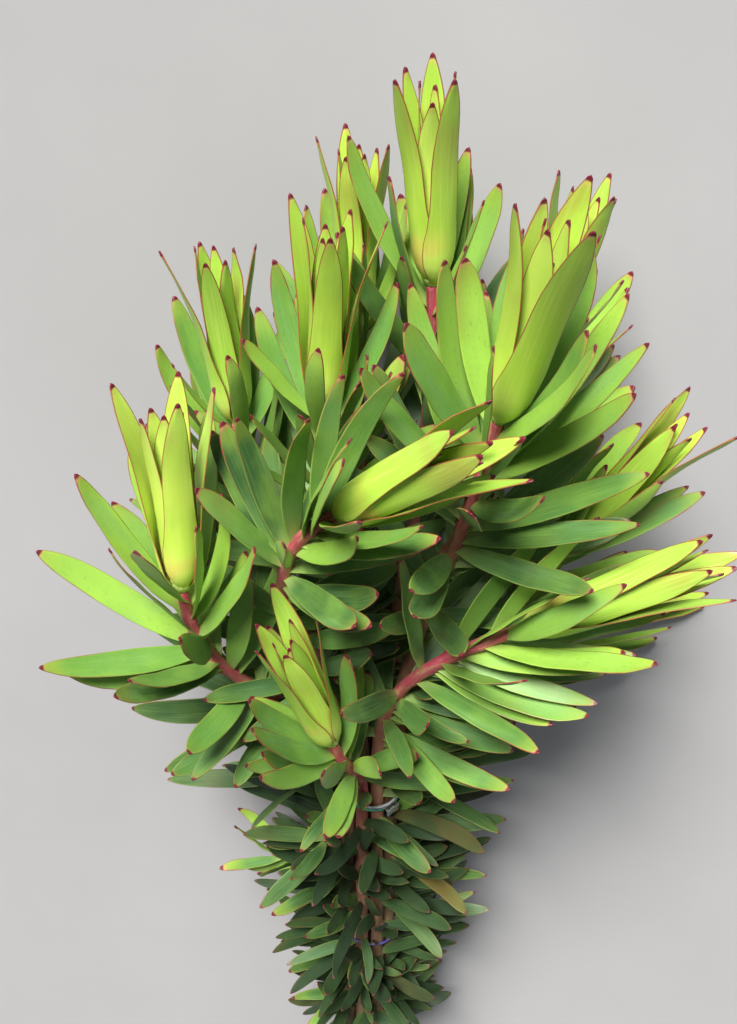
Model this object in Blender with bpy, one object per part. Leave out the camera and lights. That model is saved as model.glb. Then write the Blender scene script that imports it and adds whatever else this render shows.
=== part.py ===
"""A tied bunch of twelve green leucadendron stems, lying on its side.

Lengths are in metres unless a name says otherwise. In the row frame +Y runs from the cut ends
to the flower heads, +X is to the right with the heads away from the viewer, and +Z is up.
Each stem is described in the bunch's own frame, which has its origin at the middle of the
upper tie and its second axis along the bunch, and is then leaned over and set down.
"""

import math
import random

import bmesh
import bpy
import numpy as np
from mathutils import Vector
from mathutils.bvhtree import BVHTree

MM = 0.001
SEED = 4
GOLDEN_ANGLE = math.radians(137.508)

# The bundle of stems at the two ties
STEM_RADIUS = 2.8 * MM
TIP_RADIUS = 2.2 * MM
CUT_RADIUS = 3.2 * MM
INNER_RING = 1.3 * STEM_RADIUS
OUTER_RING = 3.38 * STEM_RADIUS
OUTER_SLOTS = 9
OUTER_TURN = math.radians(-13)
CUT_LENGTH = 0.27
CUT_SPREAD = 1.35
CUT_STAGGER = 0.009
BAND_PLACE = -0.1
LOW_BEND = -0.17
STEM_SIDES = 6

# How stiffly a stem leaves the tie and reaches its head, as shares of the way between them
STRAIGHT_START = 0.36
STRAIGHT_END = 0.38

# How the bunch lies on the surface
LEAN = math.radians(7.0)
CUT_END_DROP = CUT_SPREAD * OUTER_RING + CUT_RADIUS
TIE_HEIGHT = CUT_LENGTH * math.sin(LEAN) + CUT_END_DROP * math.cos(LEAN)

# Blades, which are leaves and bracts. An outline gives the half width at places from root to tip
BLADE_THICKNESS = 0.9 * MM
CLEARANCE = 0.5 * MM
SUNK_ROOT = 0.4
LEAF_LENGTH = 61 * MM
LEAF_HALF_WIDTH = 5.2 * MM
LEAF_OUTLINE = ((0, 0.16), (0.1, 0.28), (0.3, 0.76), (0.55, 1.0), (0.78, 0.96), (0.92, 0.6), (1, 0.0))
LEAF_STATIONS = (0.0, 0.42, 0.86)
LEAF_CUP = 0.14
BRACT_LENGTH = 80 * MM
BRACT_HALF_WIDTH = 5.3 * MM
BRACT_OUTLINE = ((0, 0.16), (0.14, 0.86), (0.4, 1.0), (0.8, 0.93), (0.93, 0.55), (1, 0.0))
BRACT_STATIONS = (0.0, 0.15, 0.4, 0.86)
BRACT_CUP = 0.12

# The bracts of a head: each pair is the outermost bract's value and the innermost one's
BRACTS = 8
BRACT_RISE = (1.1 * MM, 5.5 * MM)
BRACT_BELLY = (4.6 * MM, 1.6 * MM)
BRACT_TIP_OUT = (15 * MM, 1 * MM)
BRACT_LENGTHS = (1.0, 0.84)
BRACT_WIDTHS = (1.0, 0.8)
BRACT_RING = 2.2 * MM
BELLY_PLACE = 0.16

# The leaves above the tie: each pair is the value close under a head, where leaves hug it, and
# the value from OPEN_REACH down, where they stand off. Angles are in degrees from the stem
HUG_REACH = 8 * MM
OPEN_REACH = 70 * MM
LEAF_SPREAD = (24, 51)
LEAF_BEND = (-21, -7)
LEAF_STEP = (2.85 * MM, 9.4 * MM)
STEP_REACH = 80 * MM
LEAF_LENGTHS = (1.14, 0.78)
FIRST_LEAF = 5.5 * MM
BARE_ABOVE_TIE = 10 * MM
CROWN_TRIES = 18

# The shorter leaves below the tie: each pair is the value at the tie and at the lowest leaf
LOWER_REACH = 0.18
LOWER_LENGTH = (64 * MM, 35 * MM)
LOWER_HALF_WIDTH = (4.5 * MM, 3.5 * MM)
LOWER_TRIES = 10

# How leaves roll towards the light
LIGHT = (0.0, 0.63, 0.78)
LIGHT_TURN = math.radians(75)
LIGHT_SHARE = 0.55

# Side shoots below the tie: the stem that each grows from, how far below the tie it leaves it,
# its turn from straight out, its angle from the stem, its length, and its leaves' length and number
SHOOT_RADIUS = 1.3 * MM
SHOOT_SIDES = 5
SHOOT_LEAF_PLACES = (0.45, 0.97)
SHOOT_LEAF_SPREAD = (62, 26)
SHOOT_LEAF_SHAPE = 0.13
SHOOT_TRIES = 14
SHOOTS = (
    ("left", 4 * MM, 8, 62, 27 * MM, 56 * MM, 6),
    ("centre", 24 * MM, 22, 58, 24 * MM, 46 * MM, 5),
    ("left", 66 * MM, 6, 68, 38 * MM, 33 * MM, 6),
    ("right", 12 * MM, -6, 46, 24 * MM, 46 * MM, 5),
)

# The cone that the bracts close over
CORE_LENGTH = 14 * MM
CORE_RADIUS = 3.4 * MM
CORE_SIDES = 6
CORE_PROFILE = ((0, 0.9), (0.4, 1.0), (1.0, 0.4))
JOINT_GAP = 0.3 * MM
SPECK = 0.015 * MM

# The ties
TIE_THICKNESS = 1.3 * MM
TIE_WIDTH = 3.2 * MM
BAND_THICKNESS = 1.1 * MM
CLIP_SIZE = (7 * MM, 4.5 * MM, 2.4 * MM)
CLIP_TURN = math.radians(50)
TIE_PLACE = 0.0
TIE_SLANT = 0.2

# The space that the leaves leave free in front of the upper tie and its clip
VIEW_TURN = math.radians(80)
VIEW_DEPTH = 52 * MM
VIEW_LENGTHS = (28 * MM, 26 * MM)
VIEW_WIDTH = 7 * MM
VIEW_LEAN = 1.12

SHARP_ANGLE = math.radians(35)

# Each flower head in the bunch's frame, in millimetres: its name, its place in the tied bundle
# (ring and slot), the base of the head, the way it points, and its size
HEADS = (
    ("left", "outer", 5, (-67, 149, 35), (0.0, 1.0, 0.0), 1.08),
    ("low_left", "outer", 3, (-14, 78, 45), (-0.22, 0.95, 0.16), 1.0),
    ("centre", "outer", 4, (-10, 203, 59), (0.6, 0.68, 0.4), 1.0),
    ("upper_left", "inner", 1, (-16, 210, 8), (0.05, 1.0, 0.06), 0.95),
    ("top", "inner", 0, (22, 246, -14), (-0.05, 1.0, 0.04), 1.0),
    ("right_front", "outer", 1, (41, 234, 50), (0.13, 0.96, 0.2), 1.1),
    ("low_right", "outer", 2, (53, 147, 54), (0.84, 0.52, 0.12), 1.0),
    ("back_right", "outer", 7, (64, 208, -30), (0.2, 0.97, 0.0), 0.88),
    ("back", "inner", 2, (-4, 222, -32), (0.0, 1.0, -0.03), 0.88),
    ("back_left", "outer", 6, (-50, 180, -26), (-0.06, 0.99, -0.04), 0.95),
    ("right", "outer", 0, (78, 142, 0), (0.52, 0.85, 0.04), 0.93),
    ("low_back", "outer", 8, (82, 52, -42), (0.94, 0.26, -0.22), 0.88),
)


def unit(vector):
    return vector / np.linalg.norm(vector)


def between(pair, share):
    """From the first value of a pair at 0 to the second at 1."""
    return pair[0] + (pair[1] - pair[0]) * share


def laid(point):
    """A point of the bunch's frame, in metres, leaned over and set down on the surface."""
    x, y, z = point
    return np.array(
        (
            x,
            y * math.cos(LEAN) - z * math.sin(LEAN),
            y * math.sin(LEAN) + z * math.cos(LEAN) + TIE_HEIGHT,
        )
    )


def laid_direction(direction):
    """A direction of the bunch's frame, leaned over with it."""
    return unit(laid(direction) - laid((0, 0, 0)))


def eased(points, t):
    """A smooth curve of one value through a few (place, value) points."""
    places = [p for p, _ in points]
    last = len(points) - 1
    i = max(0, min(last - 1, int(np.searchsorted(places, t, side="right")) - 1))
    (x0, y0), (x1, y1) = points[i], points[i + 1]
    before = points[max(i - 1, 0)]
    after = points[min(i + 2, last)]
    slope0 = (y1 - before[1]) / (x1 - before[0])
    slope1 = (after[1] - y0) / (after[0] - x0)
    s = (t - x0) / (x1 - x0)
    span = x1 - x0
    return (
        (2 * s**3 - 3 * s**2 + 1) * y0
        + (s**3 - 2 * s**2 + s) * span * slope0
        + (3 * s**2 - 2 * s**3) * y1
        + (s**3 - s**2) * span * slope1
    )


def rising(x):
    """From 0 to 1 with a level start and end."""
    x = min(1.0, max(0.0, x))
    return x * x * (3 - 2 * x)


class Stem:
    """One stem: its centre line from the cut end to the flower head, and its radius along it."""

    def __init__(self, number, head, chance):
        self.number = number
        self.name, ring, slot, base, aim, self.size = head
        turn = OUTER_TURN + math.tau * slot / OUTER_SLOTS if ring == "outer" else math.tau * slot / 3
        radius = OUTER_RING if ring == "outer" else INNER_RING
        self.outer = ring == "outer"
        self.place = np.array((math.cos(turn), 0.0, math.sin(turn))) * radius
        self.base = np.array(base) * MM
        self.aim = unit(np.array(aim))
        self.cut = CUT_LENGTH - chance.uniform(0, CUT_STAGGER)
        self.points = [laid(p) for p in self.lower_points() + self.upper_points()]
        steps = np.linalg.norm(np.diff(self.points, axis=0), axis=1)
        self.along = np.concatenate(([0.0], np.cumsum(steps)))
        self.length = self.along[-1]
        self.tie = self.along[3]

    def lower_points(self):
        """Below the tie the bundle opens out a little towards the cut ends."""
        made = []
        for y in (-self.cut, LOW_BEND, BAND_PLACE):
            made.append(self.place * bundle_spread(y) + np.array((0, y, 0)))
        return made

    def upper_points(self, count=8):
        """Above the tie it leaves along the bunch and curves over to the way its head points."""
        start = self.place
        reach = np.linalg.norm(self.base - start)
        first = start + np.array((0, STRAIGHT_START * reach, 0))
        second = self.base - self.aim * STRAIGHT_END * reach
        made = []
        for i in range(count):
            s = i / (count - 1)
            made.append(
                (1 - s) ** 3 * start
                + 3 * s * (1 - s) ** 2 * first
                + 3 * s * s * (1 - s) * second
                + s**3 * self.base
            )
        return made

    def at(self, distance):
        """The centre and the direction at a distance from the cut end."""
        i = int(np.clip(np.searchsorted(self.along, distance) - 1, 0, len(self.points) - 2))
        s = (distance - self.along[i]) / (self.along[i + 1] - self.along[i])
        centre = self.points[i] * (1 - s) + self.points[i + 1] * s
        return centre, unit(self.points[i + 1] - self.points[i])

    def radius(self, distance):
        share = distance / self.length
        return eased(((0, CUT_RADIUS), (self.cut / self.length, STEM_RADIUS), (1, TIP_RADIUS)), share)


def bundle_spread(y):
    """How far the stems stand apart at y below the tie, as a share of their spacing at the tie."""
    return 1 + (CUT_SPREAD - 1) * max(0.0, -y) / CUT_LENGTH


def rolled(side, normal, turn):
    """The side and the upper normal of a blade that is rolled about its length."""
    cos, sin = math.cos(turn), math.sin(turn)
    return cos * side + sin * normal, cos * normal - sin * side


def ring_points(centre, direction, radius, sides, start=None):
    """A ring of points round a direction, which starts on the side nearest to start."""
    first = unit(np.cross(np.cross(direction, start if start is not None else (0, 0, 1)), direction))
    second = np.cross(direction, first)
    turns = [math.tau * i / sides for i in range(sides)]
    return [centre + radius * (math.cos(a) * first + math.sin(a) * second) for a in turns]


def tube(rings):
    """The points and outward faces of a closed tube through rings of points, with flat ends."""
    sides = len(rings[0])
    points = [p for ring in rings for p in ring]
    faces = [tuple(range(sides))[::-1]]
    for i in range(len(rings) - 1):
        for j in range(sides):
            k = (j + 1) % sides
            a, b = i * sides, (i + 1) * sides
            faces.append((a + j, a + k, b + k, b + j))
    top = (len(rings) - 1) * sides
    faces.append(tuple(range(top, top + sides)))
    return points, faces


def stem_tube(stem):
    """The bare stem, cut flat across at both ends."""
    rings = []
    for i, point in enumerate(stem.points):
        before = stem.points[max(i - 1, 0)]
        after = stem.points[min(i + 1, len(stem.points) - 1)]
        radius = stem.radius(stem.along[i])
        rings.append(ring_points(point, unit(after - before), radius, STEM_SIDES))
    return tube(rings)


class Blade:
    """A leaf: it leaves the stem at an angle, bends towards or away from it, and may lie rolled."""

    outline = LEAF_OUTLINE
    cup = LEAF_CUP
    stations = LEAF_STATIONS

    def __init__(self, root, axis, out, length, half_width, spread, bend, roll, sickle):
        self.root, self.axis, self.out = root, axis, out
        self.length, self.half_width = length, half_width
        self.spread, self.bend, self.roll, self.sickle = spread, bend, roll, sickle

    def spine(self, t):
        """Centre, side, upper normal at t, from 0 at the root to 1 at the tip."""
        a, b = self.spread, self.bend if abs(self.bend) > 1e-3 else 1e-3
        up = (math.sin(a + b * t) - math.sin(a)) / b
        over = (math.cos(a) - math.cos(a + b * t)) / b
        side = np.cross(self.out, self.axis)
        centre = self.root + self.length * (up * self.axis + over * self.out)
        centre = centre + side * self.sickle * self.length * t * t
        slope = a + b * t
        normal = math.sin(slope) * self.axis - math.cos(slope) * self.out
        return centre, *rolled(side, normal, self.roll)

    def width(self, t):
        return self.half_width * eased(self.outline, t)

    def section(self, t, thickness, extra):
        """Left edge, right edge and keel of the leaf at t, kept above the surface."""
        centre, side, normal = self.spine(t)
        width = self.width(t) + extra
        lift = normal * (width * self.cup + extra)
        left, right = centre - side * width + lift, centre + side * width + lift
        keel = centre - normal * thickness / 2
        for point, floor in ((left, thickness), (right, thickness), (keel, 0.0)):
            point[2] = max(point[2], floor)
        return [left, right, keel]

    def lies_well(self):
        """Whether the surface, where it presses the leaf, leaves it flat and not folded over."""
        for t in self.stations:
            centre, side, normal = self.spine(t)
            left, right, keel = self.section(t, BLADE_THICKNESS, 0.0)[:3]
            face = np.cross(right - left, keel - left)
            ahead = np.cross(side, -normal)
            if face @ ahead < 0.5 * BLADE_THICKNESS * self.width(t):
                return False
        return True

    def mesh(self, grow=0.0):
        """Points and faces of the closed blade, which narrows to a point at its tip."""
        thickness = BLADE_THICKNESS + 2 * grow
        rings = [self.section(t, thickness, grow) for t in self.stations]
        tip, side, normal = self.spine(1.0)
        tip[2] = max(tip[2], thickness / 2)
        return pointed(rings, tip)


def pointed(rings, tip):
    """A closed blade through rings of points, which ends in one point. The first half of each
    ring is its upper face, and both faces are split into triangles alike, so that they never cross."""
    sides = len(rings[0])
    points = [p for ring in rings for p in ring] + [tip]
    faces = [(0, j + 1, j) for j in range(1, sides - 1)]
    for i in range(len(rings) - 1):
        for j in range(sides):
            k = (j + 1) % sides
            a, b = i * sides, (i + 1) * sides
            if j < sides // 2:
                faces += [(a + j, a + k, b + k), (a + j, b + k, b + j)]
            else:
                faces += [(a + j, a + k, b + j), (a + k, b + k, b + j)]
    last, end = (len(rings) - 1) * sides, len(points) - 1
    faces += [(last + j, last + (j + 1) % sides, end) for j in range(sides)]
    return points, faces


class Bract(Blade):
    """A blade of the flower head: it swells out round the cone and then stands up along it."""

    outline = BRACT_OUTLINE
    cup = BRACT_CUP
    stations = BRACT_STATIONS

    def __init__(self, root, axis, out, length, half_width, belly, tip_out, roll):
        super().__init__(root, axis, out, length, half_width, 0, 0, roll, 0)
        self.belly, self.tip_out = belly, tip_out

    def radius(self, t):
        """How far the bract stands from the head's axis at t."""
        bump = t / BELLY_PLACE * math.exp(1 - t / BELLY_PLACE)
        return BRACT_RING + self.belly * bump + self.tip_out * t**1.5

    def spine(self, t):
        """Centre, side, upper normal at t. The roll sets in above the belly."""
        low, high = max(0.0, t - 0.01), min(1.0, t + 0.01)
        slope = math.atan2(self.radius(high) - self.radius(low), self.length * (high - low))
        side = np.cross(self.out, self.axis)
        centre = self.root + self.length * t * self.axis + self.radius(t) * self.out
        normal = math.sin(slope) * self.axis - math.cos(slope) * self.out
        return centre, *rolled(side, normal, self.roll * rising((t - 0.25) / 0.6))

    def section(self, t, thickness, extra):
        """As a leaf's, with the midrib's top as a fourth point, so that the bract is a thin gutter."""
        left, right, keel = super().section(t, thickness, extra)
        centre, side, normal = self.spine(t)
        top = centre + normal * thickness / 2
        top[2] = max(top[2], thickness)
        return [left, top, right, keel]


def tree_of(mesh):
    points, faces = mesh
    return BVHTree.FromPolygons([Vector(p) for p in points], faces)


class Shoot:
    """A short side shoot: a bare twig, with its leaves on the outer part."""

    def __init__(self, stem, below, turn, angle, length):
        centre, axis = stem.at(stem.tie - below)
        outward = laid_direction(unit(stem.place))
        turn, angle = math.radians(turn), math.radians(angle)
        out = unit(math.cos(turn) * outward + math.sin(turn) * np.cross(axis, outward))
        self.start, self.length = centre, length
        self.direction = unit(math.cos(angle) * axis + math.sin(angle) * out)

    def mesh(self):
        """The bare twig, from the middle of its stem."""
        end = self.start + self.direction * self.length
        return tube([ring_points(p, self.direction, SHOOT_RADIUS, SHOOT_SIDES) for p in (self.start, end)])

    def leaf(self, share, turn, length, chance, attempt):
        """A leaf at a share of the shoot's length. Later attempts turn it further and shorten it."""
        axis = self.direction
        first = unit(np.cross(np.cross(axis, (0, 0, 1)), axis))
        turn = turn + math.radians(chance.uniform(-8, 8) * (1 + attempt))
        out = math.cos(turn) * first + math.sin(turn) * np.cross(axis, first)
        spread = math.radians(between(SHOOT_LEAF_SPREAD, share) + chance.uniform(-8, 8))
        bend = math.radians(chance.uniform(-20, 12))
        length = length * chance.uniform(0.84, 1.06) * (1 - 0.02 * attempt)
        half_width = min(LEAF_HALF_WIDTH, SHOOT_LEAF_SHAPE * length) * chance.uniform(0.9, 1.05)
        roll = roll_to_light(axis, out, spread + bend / 2) + math.radians(chance.uniform(-20, 20))
        root = self.start + axis * self.length * between(SHOOT_LEAF_PLACES, share)
        root = root + out * SUNK_ROOT * SHOOT_RADIUS
        return Blade(root, axis, out, length, half_width, spread, bend, roll, chance.uniform(-0.08, 0.08))


class Crowd:
    """The blades and stems that are placed so far, against which a new blade is tried."""

    def __init__(self):
        self.members = []

    def add(self, mesh, stem, is_tube=False):
        points = np.array(mesh[0])
        self.members.append((points.min(0), points.max(0), tree_of(mesh), stem, is_tube))

    def hits(self, mesh, own_tube=None):
        points = np.array(mesh[0])
        low, high = points.min(0), points.max(0)
        tree = None
        for other_low, other_high, other, stem, is_tube in self.members:
            if is_tube and stem == own_tube:
                continue
            if (low > other_high).any() or (high < other_low).any():
                continue
            tree = tree or tree_of(mesh)
            if tree.overlap(other):
                return True
        return False


def head_bracts(stem, chance):
    """The bracts of one head, from the outermost to the innermost, in one spiral."""
    root_base = stem.points[-1]
    axis = laid_direction(stem.aim)
    first = unit(np.cross(np.cross(axis, (0, 0, 1)), axis))
    second = np.cross(axis, first)
    start = chance.uniform(0, math.tau)
    made = []
    for i in range(BRACTS):
        inner = i / (BRACTS - 1)
        turn = start + i * GOLDEN_ANGLE
        out = math.cos(turn) * first + math.sin(turn) * second
        root = root_base + axis * between(BRACT_RISE, inner)
        length = stem.size * BRACT_LENGTH * between(BRACT_LENGTHS, inner) * chance.uniform(0.93, 1.04)
        half_width = stem.size * BRACT_HALF_WIDTH * between(BRACT_WIDTHS, inner) * chance.uniform(0.94, 1.04)
        belly = stem.size * between(BRACT_BELLY, inner)
        tip_out = stem.size * between(BRACT_TIP_OUT, inner) * chance.uniform(0.82, 1.16)
        roll = math.radians(chance.uniform(-10, 10))
        made.append(Bract(root, axis, out, length, half_width, belly, tip_out, roll))
    return made


def roll_to_light(axis, out, slope):
    """How far a leaf rolls to turn its upper face to the light, which comes from above the heads."""
    light = laid_direction(LIGHT)
    across = np.cross(out, axis) @ light
    facing = (math.sin(slope) * axis - math.cos(slope) * out) @ light
    return LIGHT_SHARE * max(-LIGHT_TURN, min(LIGHT_TURN, math.atan2(-across, facing)))


def leaf_plan(stem, chance):
    """Where the leaves of one stem start: distance from the cut end, turn, and share of the way down."""
    below_head = FIRST_LEAF
    turn = chance.uniform(0, math.tau)
    made = []
    while stem.length - below_head > stem.tie + BARE_ABOVE_TIE:
        share = below_head / (stem.length - stem.tie)
        made.append((stem.length - below_head, turn, share))
        below_head += between(LEAF_STEP, rising(below_head / STEP_REACH)) * chance.uniform(0.9, 1.1)
        turn += GOLDEN_ANGLE
    return made


def crown_leaf(stem, plan, chance, attempt):
    """A leaf above the tie. Later attempts turn it, raise it and shorten it to find a clear place."""
    distance, turn, share = plan
    centre, axis = stem.at(distance)
    first = unit(np.cross(np.cross(axis, (0, 0, 1)), axis))
    second = np.cross(axis, first)
    nudge = 0.0 if attempt == 0 else chance.uniform(-1, 1)
    turn = turn + nudge * math.radians(34)
    out = math.cos(turn) * first + math.sin(turn) * second
    below = stem.length - distance
    away = rising((below - HUG_REACH) / (OPEN_REACH - HUG_REACH))
    spread = math.radians(between(LEAF_SPREAD, away) + chance.uniform(-3, 5))
    spread += math.radians(chance.uniform(-6, 14)) if attempt else 0
    bend = math.radians(between(LEAF_BEND, away) + chance.uniform(-7, 6))
    length = stem.size * LEAF_LENGTH * between(LEAF_LENGTHS, rising(share)) * chance.uniform(0.92, 1.06)
    length *= 1 - 0.02 * attempt
    half_width = stem.size * LEAF_HALF_WIDTH * chance.uniform(0.88, 1.08)
    roll = roll_to_light(axis, out, spread + bend / 2) + math.radians(chance.uniform(-22, 22))
    sickle = chance.uniform(-0.07, 0.07)
    root = centre + out * SUNK_ROOT * stem.radius(distance)
    return Blade(root, axis, out, length, half_width, spread, bend, roll, sickle)


def lower_leaf(stem, distance, chance, attempt):
    """A shorter leaf below the tie. Only the outer stems of the bundle keep them, facing out."""
    centre, axis = stem.at(distance)
    outward = laid_direction(unit(stem.place))
    across = np.cross(axis, outward)
    turn = math.radians(chance.uniform(-46, 46))
    out = unit(math.cos(turn) * outward + math.sin(turn) * across)
    spread = math.radians(chance.uniform(34, 66))
    bend = math.radians(chance.uniform(-18, 22))
    share = (stem.tie - distance) / LOWER_REACH
    length = between(LOWER_LENGTH, share) * chance.uniform(0.8, 1.05) * (1 - 0.03 * attempt)
    half_width = between(LOWER_HALF_WIDTH, share) * chance.uniform(0.85, 1.05)
    roll = roll_to_light(axis, out, spread + bend / 2) + math.radians(chance.uniform(-26, 26))
    sickle = chance.uniform(-0.12, 0.12)
    root = centre + out * SUNK_ROOT * stem.radius(distance)
    return Blade(root, axis, out, length, half_width, spread, bend, roll, sickle)


def settle(crowd, stem, make, attempts):
    """The first try of a leaf that clears everything placed so far, or None."""
    for attempt in range(attempts):
        blade = make(attempt)
        if blade.lies_well() and not crowd.hits(blade.mesh(CLEARANCE), own_tube=stem.number):
            crowd.add(blade.mesh(), stem.number)
            return blade
    return None


def grow_shoot(crowd, stem, shape, chance):
    """One side shoot and its leaves, as far as they find a clear place."""
    below, turn, angle, length, leaf_length, count = shape
    shoot = Shoot(stem, below, turn, angle, length)
    crowd.add(shoot.mesh(), stem.number, is_tube=True)
    stem.leaves.append(shoot)
    start = chance.uniform(0, math.tau)
    for i in range(count):
        share, around = i / (count - 1), start + i * GOLDEN_ANGLE
        make = lambda n: shoot.leaf(share, around, leaf_length, chance, n)
        leaf = settle(crowd, stem, make, SHOOT_TRIES)
        stem.leaves += [leaf] if leaf else []


def plan_bunch():
    """The stems, and for each its bracts and its leaves, placed clear of each other."""
    stems = [Stem(i, head, random.Random(SEED + i)) for i, head in enumerate(HEADS)]
    crowd = Crowd()
    for stem in stems:
        crowd.add(stem_tube(stem), stem.number, is_tube=True)
    for tie in (tie_band_mesh(), clip_mesh(), view_of_tie(), rubber_band_mesh()):
        crowd.add(tie, None)
    for stem in stems:
        stem.bracts = head_bracts(stem, random.Random(100 * SEED + stem.number))
        stem.leaves = []
        crowd.add(core_mesh(stem), None)
        for bract in stem.bracts:
            crowd.add(bract.mesh(), stem.number)
    chance = random.Random(SEED)
    for name, *shape in SHOOTS:
        grow_shoot(crowd, next(stem for stem in stems if stem.name == name), shape, chance)
    plans = [leaf_plan(stem, chance) for stem in stems]
    for turn in range(max(len(plan) for plan in plans)):
        for stem, plan in zip(stems, plans):
            if turn < len(plan):
                place = plan[turn]
                leaf = settle(crowd, stem, lambda n: crown_leaf(stem, place, chance, n), CROWN_TRIES)
                stem.leaves += [leaf] if leaf else []
    for stem in stems:
        distance = stem.tie - chance.uniform(8, 18) * MM
        while stem.outer and distance > stem.tie - LOWER_REACH:
            leaf = settle(crowd, stem, lambda n: lower_leaf(stem, distance, chance, n), LOWER_TRIES)
            stem.leaves += [leaf] if leaf else []
            distance -= chance.uniform(17, 22) * MM
    return stems


def object_from(name, mesh, material):
    """An object of the scene, made from points and faces."""
    points, faces = mesh
    data = bpy.data.meshes.new(name)
    data.from_pydata([Vector(p) for p in points], [], faces)
    data.materials.append(material)
    data.update()
    made = bpy.data.objects.new(name, data)
    bpy.context.scene.collection.objects.link(made)
    return made


def close_specks(bm):
    """Closes the shortest edges that a union leaves, where the surface stays whole without them."""
    for edge in [e for e in bm.edges if e.calc_length() < SPECK]:
        if not edge.is_valid:
            continue
        near = [{e.other_vert(v) for e in v.link_edges} for v in edge.verts]
        if len(near[0] & near[1]) == 2:
            bmesh.ops.pointmerge(bm, verts=edge.verts, merge_co=edge.verts[0].co)


def joined(name, body, blades, material):
    """One solid of a body and the blades that grow from it."""
    carrier = object_from(name, body, material)
    gathered = bpy.data.collections.new(name + "_blades")
    bpy.context.scene.collection.children.link(gathered)
    for blade in blades:
        piece = object_from(name + "_blade", blade.mesh(), material)
        bpy.context.scene.collection.objects.unlink(piece)
        gathered.objects.link(piece)
    union = carrier.modifiers.new("union", "BOOLEAN")
    union.operation = "UNION"
    union.operand_type = "COLLECTION"
    union.collection = gathered
    union.solver = "MANIFOLD"
    graph = bpy.context.evaluated_depsgraph_get()
    fused = bpy.data.meshes.new_from_object(carrier.evaluated_get(graph))
    carrier.modifiers.clear()
    carrier.data = fused
    bm = bmesh.new()
    bm.from_mesh(fused)
    bmesh.ops.triangulate(bm, faces=bm.faces, quad_method="BEAUTY", ngon_method="BEAUTY")
    close_specks(bm)
    bm.to_mesh(fused)
    bm.free()
    for piece in list(gathered.objects):
        bpy.data.objects.remove(piece)
    bpy.data.collections.remove(gathered)
    fused.shade_smooth()
    fused.set_sharp_from_angle(angle=SHARP_ANGLE)
    return carrier


def core_mesh(stem):
    """The cone at the heart of a head: a turned solid that stands on the stem's end."""
    axis = laid_direction(stem.aim)
    base = stem.points[-1] + axis * JOINT_GAP
    rings = []
    for share, radius in CORE_PROFILE:
        centre = base + axis * CORE_LENGTH * stem.size * share
        rings.append(ring_points(centre, axis, CORE_RADIUS * stem.size * radius, CORE_SIDES))
    return tube(rings)


def finish(name, colour, roughness, metallic=0.0):
    """A material of one colour."""
    made = bpy.data.materials.new(name)
    made.use_nodes = True
    shader = made.node_tree.nodes["Principled BSDF"]
    shader.inputs["Base Color"].default_value = (*colour, 1)
    shader.inputs["Roughness"].default_value = roughness
    shader.inputs["Metallic"].default_value = metallic
    return made


def tie_mesh(y, half_thickness, half_width, segments=20):
    """A band that lies a little aslant round the bundle at y, with an oblong section."""
    inner = (bundle_spread(y) * OUTER_RING + STEM_RADIUS + JOINT_GAP) / math.cos(math.pi / segments)
    corners = ((0, 1), (2, 1), (2, -1), (0, -1))
    points, faces = [], []
    for i in range(segments):
        turn = math.tau * i / segments
        for out, along in corners:
            radius = inner + out * half_thickness
            x, z = radius * math.cos(turn), radius * math.sin(turn)
            points.append(laid((x, y + along * half_width - TIE_SLANT * x, z)))
    for i in range(segments):
        a, b = 4 * i, 4 * ((i + 1) % segments)
        for j in range(4):
            k = (j + 1) % 4
            faces.append((a + j, b + j, b + k, a + k))
    return points, faces


def tie_band_mesh():
    """The upper tie, a narrow flat band."""
    return tie_mesh(TIE_PLACE, TIE_THICKNESS / 2, TIE_WIDTH / 2)


def rubber_band_mesh():
    """The lower tie, a thin square band."""
    return tie_mesh(BAND_PLACE, BAND_THICKNESS / 2, BAND_THICKNESS / 2)


def block_rings(turn, y, near, steps, lean=0.0):
    """A block that stands out from the bundle's axis: depth, length across and width at each step."""
    out = np.array((math.cos(turn), 0, math.sin(turn)))
    across = np.array((-math.sin(turn), 0, math.cos(turn)))
    along = np.array((0, 1, 0))
    rings = []
    for depth, long, wide in steps:
        centre = out * (near + depth) + along * (y + lean * depth)
        centre[1] -= TIE_SLANT * near * out[0]
        corners = ((-1, 1), (1, 1), (1, -1), (-1, -1))
        rings.append([laid(centre + across * a * long / 2 + along * b * wide / 2) for a, b in corners])
    return rings


def clip_mesh():
    """The folded metal clip that closes the upper tie, on the outside of the band."""
    near = OUTER_RING + STEM_RADIUS + TIE_THICKNESS + 3 * JOINT_GAP
    long, wide, deep = CLIP_SIZE
    steps = ((0, long, wide), (0.7 * deep, long, wide), (deep, 0.84 * long, 0.8 * wide))
    return tube(block_rings(CLIP_TURN, TIE_PLACE, near, steps))


def view_of_tie():
    """The space in front of the clip and the upper tie, which the leaves leave free."""
    near = OUTER_RING + STEM_RADIUS + TIE_THICKNESS + 2 * JOINT_GAP
    steps = ((0, VIEW_LENGTHS[0], VIEW_WIDTH), (VIEW_DEPTH, VIEW_LENGTHS[1], VIEW_WIDTH))
    return tube(block_rings(VIEW_TURN, TIE_PLACE, near, steps, VIEW_LEAN))


def centre_on_origin(objects):
    """Moves the whole bunch so that the origin is under the middle of its box."""
    corners = np.array([v.co for o in objects for v in o.data.vertices])
    shift = (corners.min(0) + corners.max(0)) / 2
    for o in objects:
        for v in o.data.vertices:
            v.co.x -= shift[0]
            v.co.y -= shift[1]


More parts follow.
